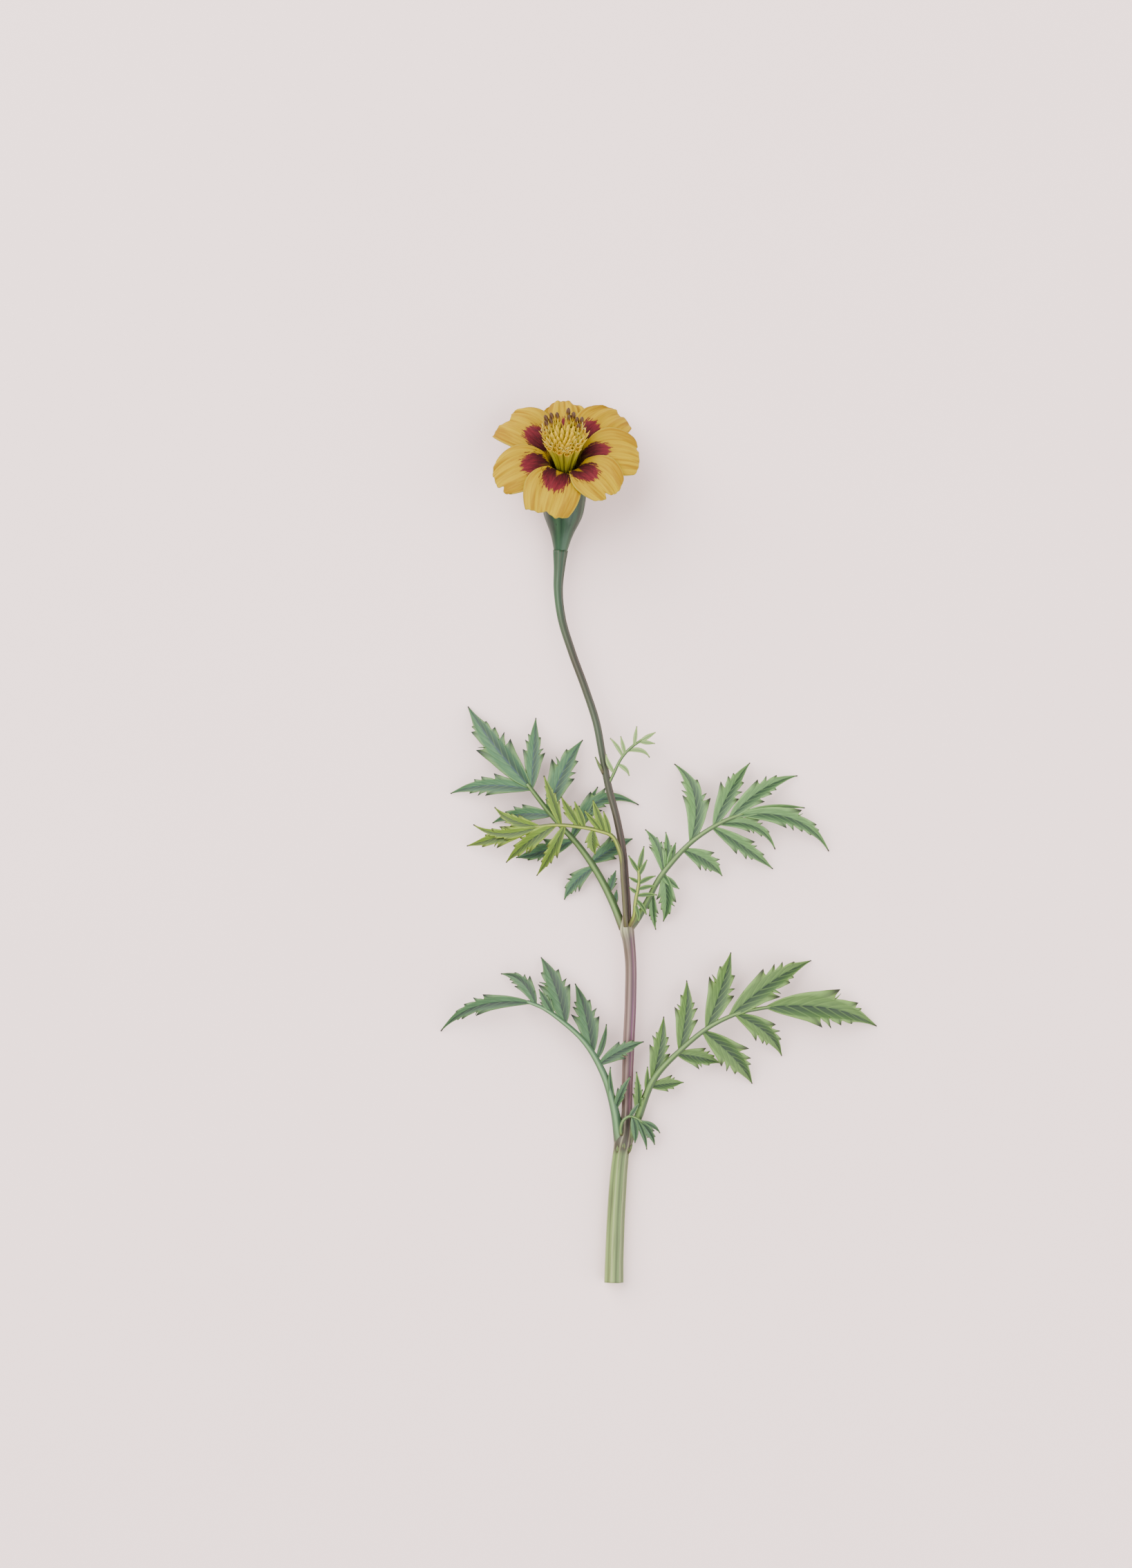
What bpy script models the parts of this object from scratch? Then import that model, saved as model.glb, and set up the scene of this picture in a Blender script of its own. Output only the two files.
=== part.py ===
"""A cut flower stem of single French marigold, lying face up on a flat surface.

Metres, +Z up. +Y runs along the stem towards the flower and +Z away from the surface. The
origin is on the small flat under the lower stem, which rests on the surface. Lengths in the
constants below are in millimetres.
"""

import math

import bmesh
import bpy
import numpy as np
from mathutils import Matrix, Vector

MM = 0.001
GAP = 0.3  # clearance between neighbouring pieces
WELD = 0.00001  # merge distance for doubled points, in metres
CRUMB = 0.000002  # the same where blades cross, to leave no slivers
UP = Vector((0.0, 0.0, 1.0))

# The stem's middle line, from its cut end to the flower head: x, y, z and radius. The two
# places where the radius swells are the nodes that carry the leaves.
STEM = [
    (-0.3, -12.0, 2.62, 2.89),
    (-0.2, -6.0, 2.55, 2.80),
    (0.0, 0.0, 2.50, 2.75),
    (0.4, 9.0, 2.50, 2.68),
    (0.9, 17.0, 2.62, 2.62),
    (1.5, 24.0, 2.85, 2.50),
    (2.0, 28.0, 3.15, 2.45),
    (2.6, 31.0, 3.40, 2.70),
    (3.3, 33.8, 3.50, 2.05),
    (3.6, 38.0, 3.60, 1.68),
    (3.8, 48.0, 3.85, 1.68),
    (4.2, 60.0, 4.20, 1.75),
    (4.8, 75.0, 4.60, 1.75),
    (4.7, 88.0, 5.10, 1.75),
    (4.2, 92.5, 5.25, 1.90),
    (3.7, 95.7, 5.40, 2.15),
    (3.7, 98.8, 5.50, 1.45),
    (3.7, 103.0, 5.65, 1.20),
    (3.2, 111.0, 5.90, 1.15),
    (2.4, 120.0, 6.20, 1.10),
    (0.6, 129.5, 6.45, 1.08),
    (-1.9, 139.0, 6.60, 1.10),
    (-3.8, 149.0, 6.60, 1.10),
    (-5.6, 158.5, 6.50, 1.15),
    (-9.0, 169.0, 6.20, 1.15),
    (-13.2, 180.5, 5.70, 1.18),
    (-16.2, 190.5, 5.10, 1.26),
    (-17.2, 199.5, 4.85, 1.42),
    (-16.85, 206.0, 4.75, 1.75),
    (-16.58, 210.0, 4.75, 2.20),
]
STEM_POINTS = 64
STEM_SIDES = 12

# The green cup under the flower: its curved middle line, three points of a parabola, with the
# stem's end at the first and the centre of the rim at the last.
CUP_AXIS = [(-16.5, 210.3, 4.75), (-15.2, 228.5, 5.0), (-15.1, 233.9, 11.75)]
CUP_PROFILE = [(0.0, 2.3), (0.2, 4.1), (0.4, 5.9), (0.58, 6.45), (0.8, 6.35), (1.0, 6.15)]
CUP_WALL = 0.65
CUP_HOLLOW = 2.5  # depth of the flat-floored hollow that holds the florets
CUP_SIDES = 24
CUP_TEETH = 8
TOOTH_HEIGHT = 2.2

# Ray florets: seven petals whose claws stand in one collar.
PETAL_BLADE = 0.6
COLLAR_RADII = (4.45, 5.1)
COLLAR_SIDES = 16
COLLAR_TOP = 1.2
CLAW_BOTTOM = -0.8
CLAW_HEIGHT = 5.2
CLAW_HALF_WIDTH = 1.6
CLAW_BEND = 0.12  # share of the limb over which it turns out of the claw
LIMB_SPREAD = 0.62  # share of the limb at which it is widest
PETAL_ROWS = 9
PETAL_COLUMNS = 6
# All petals follow one flared surface, whose slope at the claw and at the end, in degrees,
# is steeper at the back of the head (azimuth 90) than at its front.
SLOPE_AT_CLAW = (54.0, 8.0)  # mean, and what the back adds and the front takes away
SLOPE_AT_END = (-36.0, 10.0)
LIMB_LENGTH = 20.0  # over which the slope changes
SURFACE_REACH = 28.0  # how far that surface goes past the claws
PROFILE_STEP = 0.5
EDGE_LIFT = 0.85
EDGE_CUPPING = 0.9
END_ROUNDING = 0.14  # shares of the petal's length or width
LOBE_DEPTH = 0.07
END_NARROWING = 0.24
# Each petal: its azimuth round the head, its limb's length, its width, the lobes of its end,
# and whether its right and left edges lie over (+1) or under (-1) the neighbour's.
PETALS = [
    (255.0, 20.5, 17.0, 2, 1, -1),
    (201.0, 21.5, 16.5, 2, 1, -1),
    (142.0, 22.5, 16.5, 2, 1, -1),
    (92.0, 18.0, 14.5, 2, -1, -1),
    (47.0, 23.0, 17.0, 1, -1, 1),
    (1.0, 20.5, 16.0, 2, -1, 1),
    (314.0, 18.5, 15.5, 2, 1, 1),
]

# Disc florets: slender funnels on a smaller core, laid out in a sunflower spiral.
DISC_FLORETS = 34
DISC_ROOT_RADIUS = 2.8
DISC_TOP_RADIUS = 7.2
DISC_HEIGHTS = (15.5, 18.5)  # the innermost and the outermost
DISC_BACK_RISE = 2.6  # what the outermost gain at the back and lose at the front
FLORET_RADII = [(0.0, 0.55), (0.84, 1.05), (1.0, 0.6)]
CORE_PROFILE = [(0.0, -2.2), (3.6, -2.2), (3.6, 4.4), (4.8, 12.6), (0.0, 13.4)]
CORE_SIDES = 12
GOLDEN_ANGLE = math.pi * (3.0 - math.sqrt(5.0))

# Leaflets: a lanceolate blade with hooked teeth, folded a little along its midrib.
BLADE = 0.6
LEAFLET_ROOT = 0.9  # width where it leaves the rachis
LEAFLET_TIP = 0.5
PLAIN_PLACES = (0.0, 0.14, 0.29)
PLAIN_SHARE = 0.9
FEWEST_TEETH = 2
LONGER_LEAFLETS = (15.0, 28.0)  # lengths above which a leaflet has a further tooth a side
TOOTH_DEPTH = 0.30
TOOTH_LEAN = 0.72  # where in its pitch a tooth is widest
FIRST_NOTCH = 0.40
LAST_NOTCH = 0.87
SWEEP = 0.70  # how far the edge is drawn towards the tip, in half widths
SWEEP_SKEW = 0.25  # what the left edge adds to that and the right edge takes away
BEND_PLACE = 0.6  # share of the way at which it bends most
FOLD = 0.22  # how far the edge stands above the midrib, in half widths
TOOTHED_WIDTH = 2.7  # a narrower leaflet has plain edges

# Leaves. A rachis is given by x, y, z and radius, and a leaflet by its place along the
# rachis, its tip's x, y and z, its width, how far it bows to its left and how far it arches.
LOWER_RIGHT = {
    "rachis": [
        (3.4, 31.5, 3.4, 1.0),
        (7.2, 38.5, 4.4, 1.0),
        (11.8, 50.0, 7.0, 0.95),
        (20.5, 59.6, 9.6, 0.85),
        (29.0, 66.4, 10.5, 0.75),
        (37.4, 70.3, 10.0, 0.65),
        (47.5, 72.3, 8.6, 0.55),
    ],
    "leaflets": [
        (0.98, 80.0, 66.0, 0.5, 10.4, 3.0, 3.0),
        (0.80, 60.0, 86.0, 0.5, 8.4, 1.6, 2.5),
        (0.83, 51.0, 57.0, 1.0, 6.6, 2.1, 2.0),
        (0.68, 35.5, 88.5, 1.5, 7.8, -0.4, 2.0),
        (0.66, 42.0, 48.5, 0.5, 8.2, 1.4, 2.0),
        (0.52, 22.0, 80.0, 2.5, 6.4, -0.7, 1.5),
        (0.50, 32.0, 55.0, 4.0, 5.8, 0.4, 0.5),
        (0.32, 15.0, 69.0, 3.0, 5.8, -0.4, 1.5),
        (0.30, 21.0, 49.0, 3.5, 4.4, 0.2, 0.5),
        (0.26, 10.0, 54.0, 7.0, 1.8, 0.0, 0.0),
        (0.14, 6.6, 52.5, 7.8, 3.0, -0.3, 0.5),
    ],
}
LOWER_LEFT = {
    "rachis": [
        (2.0, 31.5, 3.4, 1.0),
        (0.0, 40.6, 5.0, 1.0),
        (-3.6, 52.3, 7.6, 0.95),
        (-9.7, 62.2, 9.5, 0.85),
        (-16.3, 68.2, 10.0, 0.75),
        (-21.9, 72.0, 9.5, 0.65),
        (-26.6, 73.9, 8.8, 0.55),
    ],
    "leaflets": [
        (0.98, -53.0, 64.5, 0.5, 5.0, -4.0, 2.5),
        (0.95, -34.6, 82.0, 1.5, 4.8, -2.4, 1.5),
        (0.84, -23.0, 77.5, 8.0, 3.2, 0.0, 0.5),
        (0.76, -22.4, 87.0, 1.0, 8.0, -1.0, 2.0),
        (0.54, -12.0, 79.0, 2.0, 7.0, -0.8, 2.0),
        (0.50, -2.5, 66.8, 5.0, 2.0, -0.5, 0.5),
        (0.47, 8.8, 61.5, 6.2, 4.8, 0.9, 1.8),
        (0.22, -1.3, 54.0, 8.8, 2.0, 0.5, 0.3),
        (0.20, 4.8, 51.0, 7.6, 2.8, 0.5, 1.0),
    ],
}
UPPER_LEFT = {
    "rachis": [
        (2.6, 95.8, 5.2, 1.0),
        (-0.4, 103.4, 4.3, 0.95),
        (-5.6, 113.5, 3.5, 0.9),
        (-11.4, 121.7, 4.4, 0.85),
        (-16.2, 127.0, 5.6, 0.75),
        (-21.1, 132.8, 7.0, 0.65),
        (-26.6, 140.0, 8.2, 0.55),
    ],
    "leaflets": [
        (0.97, -44.7, 163.5, 0.5, 9.8, 0.9, 2.5),
        (0.96, -24.0, 160.0, 1.0, 6.4, 0.1, 2.0),
        (0.96, -50.0, 137.0, 0.5, 6.4, -1.9, 2.0),
        (0.80, -9.7, 153.3, 1.0, 8.4, 1.4, 1.5),
        (0.77, -37.2, 128.0, 0.5, 5.8, -1.6, 0.5),
        (0.58, -30.0, 117.4, 0.5, 6.6, 0.4, 0.5),
        (0.60, -5.1, 139.0, 1.0, 4.2, 0.2, 0.5),
        (0.59, 7.4, 133.5, 0.7, 5.8, 6.8, 0.0),
        (0.42, 5.5, 123.2, 0.7, 6.2, 0.5, 0.0),
        (0.39, -15.3, 104.6, 0.5, 5.0, -1.2, 0.3),
        (0.22, 0.4, 113.5, 2.0, 2.8, 0.0, 0.0),
        (0.14, 0.7, 107.6, 2.8, 1.9, 0.0, 0.0),
    ],
}
UPPER_LEFT_FRONT = {
    "rachis": [
        (3.5, 95.4, 5.9, 0.8),
        (3.3, 98.4, 8.0, 0.8),
        (3.0, 103.0, 8.5, 0.75),
        (2.4, 111.0, 8.8, 0.7),
        (1.4, 119.8, 9.2, 0.7),
        (-0.9, 124.2, 9.6, 0.65),
        (-5.1, 125.8, 10.2, 0.65),
        (-11.4, 127.0, 10.9, 0.6),
        (-17.7, 127.5, 11.0, 0.55),
        (-25.0, 126.8, 10.2, 0.5),
    ],
    "leaflets": [
        (0.98, -45.0, 121.0, 1.2, 5.8, 0.0, 2.0),
        (0.97, -43.0, 127.5, 2.6, 4.0, 2.4, 2.5),
        (0.96, -36.5, 132.8, 5.5, 4.2, 1.4, 1.5),
        (0.87, -33.0, 116.0, 3.2, 5.8, -1.0, 2.0),
        (0.82, -23.7, 112.0, 2.2, 4.4, 0.4, 2.0),
        (0.84, -21.5, 142.4, 10.4, 3.4, 0.0, 1.0),
        (0.74, -16.2, 136.0, 10.0, 3.2, 0.2, 0.5),
        (0.71, -12.2, 134.6, 10.3, 2.4, 0.0, 0.5),
        (0.66, -5.9, 118.6, 8.6, 4.2, -0.6, 0.5),
        (0.59, -6.6, 135.0, 9.2, 2.6, 0.2, 0.5),
        (0.56, -3.4, 131.6, 9.6, 1.9, 0.0, 0.5),
        (0.61, -9.2, 131.8, 9.8, 1.9, 0.0, 0.5),
    ],
}
UPPER_RIGHT = {
    "rachis": [
        (4.4, 95.6, 5.0, 1.0),
        (7.2, 99.4, 5.1, 1.0),
        (9.9, 104.2, 6.2, 0.95),
        (13.9, 111.7, 7.6, 0.9),
        (17.1, 115.8, 8.4, 0.85),
        (22.6, 121.7, 9.6, 0.8),
        (29.9, 126.9, 10.0, 0.7),
        (34.4, 129.2, 9.8, 0.65),
        (39.0, 130.8, 9.2, 0.55),
    ],
    "leaflets": [
        (0.98, 65.4, 119.4, 0.5, 6.6, 4.9, 2.5),
        (0.94, 58.0, 132.6, 1.5, 3.0, 1.3, 2.2),
        (0.91, 55.8, 142.4, 0.5, 6.8, 2.2, 2.0),
        (0.84, 49.0, 120.0, 1.0, 4.8, 3.8, 2.0),
        (0.81, 41.3, 146.3, 1.0, 7.2, 1.1, 2.5),
        (0.80, 48.3, 114.0, 0.5, 6.2, 0.6, 2.0),
        (0.64, 18.3, 146.0, 1.2, 8.2, -4.0, 2.5),
        (0.58, 32.8, 111.9, 2.2, 6.8, 1.2, 1.5),
        (0.40, 9.4, 126.0, 2.5, 4.8, -1.3, 1.0),
        (0.42, 15.6, 125.2, 3.2, 3.2, -0.5, 1.0),
        (0.44, 18.6, 122.0, 5.5, 2.4, 0.0, 0.5),
        (0.40, 14.9, 98.0, 1.5, 5.2, 1.0, 1.0),
        (0.38, 19.6, 108.0, 5.0, 2.6, 0.0, 0.5),
        (0.27, 12.6, 95.5, 1.2, 2.8, -0.4, 0.5),
    ],
}
AXIL_SHOOT = {
    "rachis": [
        (4.2, 96.2, 6.2, 0.8),
        (5.9, 99.6, 8.5, 0.7),
        (6.3, 104.0, 9.2, 0.65),
        (7.4, 111.0, 9.5, 0.55),
        (7.2, 114.5, 9.3, 0.5),
    ],
    "leaflets": [
        (0.97, 8.9, 121.0, 8.8, 1.7, 0.0, 0.3),
        (0.88, 9.8, 116.9, 9.3, 1.4, 0.0, 0.3),
        (0.93, 4.2, 118.2, 9.8, 1.4, 0.0, 0.3),
        (0.77, 4.4, 111.6, 10.0, 1.2, 0.0, 0.3),
        (0.60, 4.4, 108.6, 10.0, 1.2, 0.0, 0.3),
        (0.75, 12.4, 112.0, 10.4, 1.5, 0.3, 0.3),
        (0.66, 12.6, 108.9, 10.2, 1.4, 0.3, 0.3),
        (0.56, 12.8, 106.2, 10.0, 1.4, 0.3, 0.3),
        (0.50, 9.6, 100.3, 9.0, 1.5, 0.3, 0.5),
        (0.42, 7.2, 98.2, 10.2, 1.3, 0.3, 0.5),
    ],
}
LOWER_CURL = {
    "rachis": [
        (1.6, 31.8, 4.6, 0.7),
        (1.2, 35.2, 6.8, 0.65),
        (2.4, 37.8, 7.5, 0.6),
        (4.4, 38.8, 7.6, 0.6),
        (6.6, 38.3, 7.4, 0.55),
        (8.4, 37.0, 6.8, 0.5),
    ],
    "leaflets": [
        (0.96, 13.6, 34.2, 3.5, 2.0, 0.8, 0.8),
        (0.90, 11.8, 30.4, 2.6, 2.4, 0.5, 0.8),
        (0.80, 9.4, 28.9, 3.6, 2.2, 0.8, 0.8),
        (0.70, 6.6, 31.0, 6.6, 1.9, 0.3, 0.5),
        (0.62, 7.4, 43.0, 7.8, 1.5, 0.0, 0.3),
    ],
}
BRACT = {
    "rachis": [
        (-2.0, 139.6, 6.7, 0.5),
        (-0.6, 142.4, 7.4, 0.5),
        (2.1, 147.8, 8.2, 0.45),
        (4.5, 150.6, 8.6, 0.45),
        (8.2, 153.3, 8.0, 0.4),
    ],
    "leaflets": [
        (0.97, 12.4, 155.6, 6.8, 1.5, 0.0, 0.3),
        (0.95, 12.2, 152.2, 6.4, 1.4, 0.0, 0.3),
        (0.84, 6.7, 157.4, 8.2, 1.3, 0.0, 0.3),
        (0.70, 10.6, 148.0, 6.6, 1.6, 1.2, 0.3),
        (0.62, 1.8, 154.4, 9.2, 1.3, 0.0, 0.3),
        (0.56, -1.4, 153.8, 9.0, 1.3, -0.3, 0.3),
        (0.40, 4.4, 142.4, 6.6, 1.5, 0.6, 0.3),
        (0.24, -2.6, 149.0, 9.0, 1.5, 0.5, 0.3),
    ],
}
# One scale of the bract stands on the far side of the stem and grows from the stem itself.
STEM_SCALE_ROOT = (-3.0, 143.2, 6.6)
STEM_SCALE_TIP = (-6.6, 147.6, 6.8)
STEM_SCALE_WIDTH = 1.0


def rgb(hex_colour):
    """A linear colour from an sRGB hex string."""
    channels = [int(hex_colour[k : k + 2], 16) / 255.0 for k in (0, 2, 4)]
    linear = [c / 12.92 if c <= 0.04045 else ((c + 0.055) / 1.055) ** 2.4 for c in channels]
    return (*linear, 1.0)


def give_material(piece, hex_colour, roughness):
    """One plain material of the piece's own."""
    material = bpy.data.materials.new(piece.name)
    material.use_nodes = True
    shader = material.node_tree.nodes["Principled BSDF"]
    shader.inputs["Base Color"].default_value = rgb(hex_colour)
    shader.inputs["Roughness"].default_value = roughness
    shader.inputs["Metallic"].default_value = 0.0
    material.diffuse_color = rgb(hex_colour)
    piece.data.materials.clear()
    piece.data.materials.append(material)


def evaluated(holder):
    """The mesh of an object with its modifiers or its curve's bevel worked out."""
    return bpy.data.meshes.new_from_object(holder.evaluated_get(bpy.context.evaluated_depsgraph_get()))


def freeze(piece):
    """Apply all of a mesh object's modifiers."""
    mesh = evaluated(piece)
    old = piece.data
    piece.modifiers.clear()
    piece.data = mesh
    bpy.data.meshes.remove(old)


def place_mesh(name, mesh, collection):
    piece = bpy.data.objects.new(name, mesh)
    collection.objects.link(piece)
    return piece


def weld(mesh, distance=WELD):
    shape = bmesh.new()
    shape.from_mesh(mesh)
    bmesh.ops.remove_doubles(shape, verts=shape.verts, dist=distance)
    bmesh.ops.recalc_face_normals(shape, faces=shape.faces)
    shape.to_mesh(mesh)
    shape.free()


def smooth(points, count):
    """Points evenly spaced on a smooth curve through rows of x, y, z and radius."""
    rows = np.array(points, float)
    steps = np.linalg.norm(np.diff(rows[:, :3], axis=0), axis=1)
    places = np.concatenate([[0.0], np.cumsum(steps)])
    slopes = np.gradient(rows, places, axis=0)
    wanted = np.linspace(0.0, places[-1], count)
    k = np.clip(np.searchsorted(places, wanted) - 1, 0, len(steps) - 1)
    span = steps[k][:, None]
    t = ((wanted - places[k]) / steps[k])[:, None]
    near = (2 * t**3 - 3 * t**2 + 1) * rows[k] + (t**3 - 2 * t**2 + t) * span * slopes[k]
    far = (3 * t**2 - 2 * t**3) * rows[k + 1] + (t**3 - t**2) * span * slopes[k + 1]
    return near + far


def tube(name, path, collection, sides=6):
    """A capped round tube along rows of x, y, z and radius."""
    curve = bpy.data.curves.new(name, "CURVE")
    curve.dimensions = "3D"
    curve.bevel_depth = MM
    curve.bevel_resolution = (sides - 4) // 2
    curve.use_fill_caps = True
    spline = curve.splines.new("POLY")
    spline.points.add(len(path) - 1)
    for point, (x, y, z, radius) in zip(spline.points, path):
        point.co = (x * MM, y * MM, z * MM, 1.0)
        point.radius = radius
    holder = bpy.data.objects.new(name + "_curve", curve)
    bpy.context.scene.collection.objects.link(holder)
    bpy.context.view_layer.update()
    mesh = evaluated(holder)
    mesh.transform(holder.matrix_world)
    bpy.data.objects.remove(holder)
    bpy.data.curves.remove(curve)
    weld(mesh)
    return place_mesh(name, mesh, collection)


def turned(name, profile, sides, collection):
    """A solid turned about Z from radius and height pairs that start and end on the axis,
    or close on themselves as a ring. Heights fall along the outer side."""
    mesh = bpy.data.meshes.new(name)
    ring = profile[0][0] > 0.0
    count = len(profile)
    edges = [(k, k + 1) for k in range(count - 1)] + ([(count - 1, 0)] if ring else [])
    mesh.from_pydata([(r * MM, 0.0, h * MM) for r, h in profile], edges, [])
    piece = place_mesh(name, mesh, collection)
    screw = piece.modifiers.new("Turn", "SCREW")
    screw.steps = sides
    screw.render_steps = sides
    screw.use_merge_vertices = True
    screw.merge_threshold = WELD
    freeze(piece)
    weld(piece.data)
    return piece


def blade(name, grid_columns, grid_rows, place, thickness, collection):
    """A thin solid from a grid whose points are set by place(u, row), u from -1 to 1."""
    shape = bmesh.new()
    bmesh.ops.create_grid(shape, x_segments=grid_columns, y_segments=grid_rows, size=1.0)
    for vert in shape.verts:
        row = round((vert.co.y + 1.0) / 2.0 * grid_rows)
        vert.co = place(vert.co.x, row) * MM
    bmesh.ops.triangulate(shape, faces=shape.faces[:])
    mesh = bpy.data.meshes.new(name)
    shape.to_mesh(mesh)
    shape.free()
    piece = place_mesh(name, mesh, collection)
    wall = piece.modifiers.new("Wall", "SOLIDIFY")
    wall.thickness = thickness * MM
    wall.offset = 0.0
    freeze(piece)
    return piece


def bell(t):
    """Share of the greatest width at t along a lanceolate leaflet."""
    return math.sin(math.pi * t**0.6) if 0.0 < t < 1.0 else 0.0


def leaflet_rows(length, width):
    """Places along the midrib, each with its share of the envelope's width. A toothed leaflet
    has a plain lower part and then notch and tooth in turn."""
    if width < TOOTHED_WIDTH:
        return [(t, 1.0) for t in (0.0, 0.25, 0.6, 1.0)]
    teeth = FEWEST_TEETH + sum(length > limit for limit in LONGER_LEAFLETS)
    pitch = (LAST_NOTCH - FIRST_NOTCH) / teeth
    rows = [(t, PLAIN_SHARE) for t in PLAIN_PLACES]
    for tooth in range(teeth):
        notch = FIRST_NOTCH + tooth * pitch
        rows += [(notch, 1.0 - TOOTH_DEPTH), (notch + TOOTH_LEAN * pitch, 1.0)]
    return rows + [(LAST_NOTCH, 1.0 - TOOTH_DEPTH), (1.0, 1.0)]


def leaflet(name, root, tip, width, bow, arch, collection):
    """One blade from root to tip, in millimetres, bowed to its left and arched upwards."""
    along = tip - root
    across = UP.cross(along).normalized()
    middle = root.lerp(tip, BEND_PLACE) + 2.0 * (across * bow + UP * arch)
    rows = leaflet_rows(along.length, width)

    def place(u, row):
        t, share = rows[row]
        on_rib = root * (1 - t) ** 2 + middle * 2 * t * (1 - t) + tip * t**2
        ahead = ((middle - root) * (1 - t) + (tip - middle) * t).normalized()
        side = UP.cross(ahead).normalized()
        normal = ahead.cross(side)
        half = max(width / 2.0 * bell(t) * share, (LEAFLET_ROOT if t < 0.5 else LEAFLET_TIP) / 2.0)
        swept = SWEEP * (1.0 + SWEEP_SKEW * u) * half * (0.0 < t < 1.0)
        return on_rib + side * u * half + (ahead * swept + normal * FOLD * half) * abs(u)

    return blade(name, 2, len(rows) - 1, place, BLADE, collection)


def unite(piece, others):
    """Fuse a collection's solids into piece, and remove them."""
    union = piece.modifiers.new("Unite", "BOOLEAN")
    union.operation = "UNION"
    union.operand_type = "COLLECTION"
    union.collection = others
    union.solver = "EXACT"
    freeze(piece)
    weld(piece.data, CRUMB)
    for other in list(others.objects):
        mesh = other.data
        bpy.data.objects.remove(other)
        bpy.data.meshes.remove(mesh)
    bpy.data.collections.remove(others)


def cut(piece, cutter):
    difference = piece.modifiers.new("Cut", "BOOLEAN")
    difference.operation = "DIFFERENCE"
    difference.object = cutter
    difference.solver = "EXACT"
    freeze(piece)
    weld(piece.data, CRUMB)


def new_collection(name):
    collection = bpy.data.collections.new(name)
    bpy.context.scene.collection.children.link(collection)
    return collection


def frond(name, leaf, hex_colour, stem_room, plant):
    """A rachis with its leaflets fused on, cut to seat on the stem with a small gap."""
    length = sum(math.dist(a[:3], b[:3]) for a, b in zip(leaf["rachis"], leaf["rachis"][1:]))
    path = smooth(leaf["rachis"], max(6, round(length / 4.5)))
    piece = tube(name, path, plant)
    blades = new_collection(name + "_blades")
    ends = np.linspace(0.0, 1.0, len(path))
    for place, x, y, z, width, bow, arch in leaf["leaflets"]:
        root = Vector([np.interp(place, ends, path[:, axis]) for axis in range(3)])
        leaflet(name + "_leaflet", root, Vector((x, y, z)), width, bow, arch, blades)
    unite(piece, blades)
    cut(piece, stem_room)
    give_material(piece, hex_colour, 0.6)
    return piece


def build_stem(plant, cutters):
    """The ribbed stem in one piece with its swollen nodes, flat where it rests."""
    path = smooth(STEM, STEM_POINTS)
    stem = tube("stem", path, plant, STEM_SIDES)
    scale = new_collection("stem_scale")
    leaflet("scale", Vector(STEM_SCALE_ROOT), Vector(STEM_SCALE_TIP), STEM_SCALE_WIDTH, 0.0, 0.3, scale)
    unite(stem, scale)
    bpy.ops.mesh.primitive_cube_add(size=1.0, location=(0.0, 0.0, -5.0 * MM))
    below = bpy.context.active_object
    below.name = "below_surface"
    below.data.transform(Matrix.Diagonal((20.0 * MM, 60.0 * MM, 10.0 * MM, 1.0)))
    for holder in list(below.users_collection):
        holder.objects.unlink(below)
    cutters.objects.link(below)
    cut(stem, below)
    give_material(stem, "7F9A5A", 0.55)
    wider = path.copy()
    wider[:, 3] += GAP
    room = tube("stem_room", wider, cutters, STEM_SIDES)
    for guide in (below, room):
        guide.hide_render = True
        guide.display_type = "WIRE"
    return room


def cup_axis(t):
    """Point and direction at t on the cup's curved middle line."""
    start, bend, end = (Vector(p) for p in CUP_AXIS)
    point = start * (1 - t) ** 2 + bend * 2 * t * (1 - t) + end * t**2
    return point, ((bend - start) * (1 - t) + (end - bend) * t).normalized()


def head_matrix(t=1.0):
    """Frame of the flower head: X to the right, Y to its back and Z along its axis."""
    point, axis = cup_axis(t)
    right = (Vector((1.0, 0.0, 0.0)) - axis * axis.x).normalized()
    back = axis.cross(right)
    turn = Matrix((right, back, axis)).transposed().to_4x4()
    return Matrix.Translation(point * MM) @ turn


def build_cup(plant):
    """The involucre: turned about a straight line, its rim drawn up into teeth, then bent."""
    chords = [cup_axis(k / 40)[0] for k in range(41)]
    length = sum((b - a).length for a, b in zip(chords, chords[1:]))
    outside = [(radius, share * length) for share, radius in CUP_PROFILE]
    inner = outside[-1][0] - CUP_WALL
    floor = length - CUP_HOLLOW
    profile = [(0.0, floor), (inner, floor), (inner, length)] + outside[::-1] + [(0.0, 0.0)]
    cup = turned("involucre", profile, CUP_SIDES, plant)
    pitch = 2 * math.pi / CUP_TEETH
    for vert in cup.data.vertices:
        x, y, z = vert.co
        if z > (length - 0.01) * MM:
            phase = (math.atan2(y, x) % pitch) / pitch
            z += TOOTH_HEIGHT * MM * max(0.0, 1.0 - 3.0 * min(phase, 1.0 - phase)) ** 0.8
        if z > (floor - 0.01) * MM:  # the hollow stays square to the rim
            vert.co = head_matrix() @ Vector((x, y, z - length * MM))
        else:
            vert.co = head_matrix(z / (length * MM)) @ Vector((x, y, 0.0))
    give_material(cup, "4C6A4A", 0.5)


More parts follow.
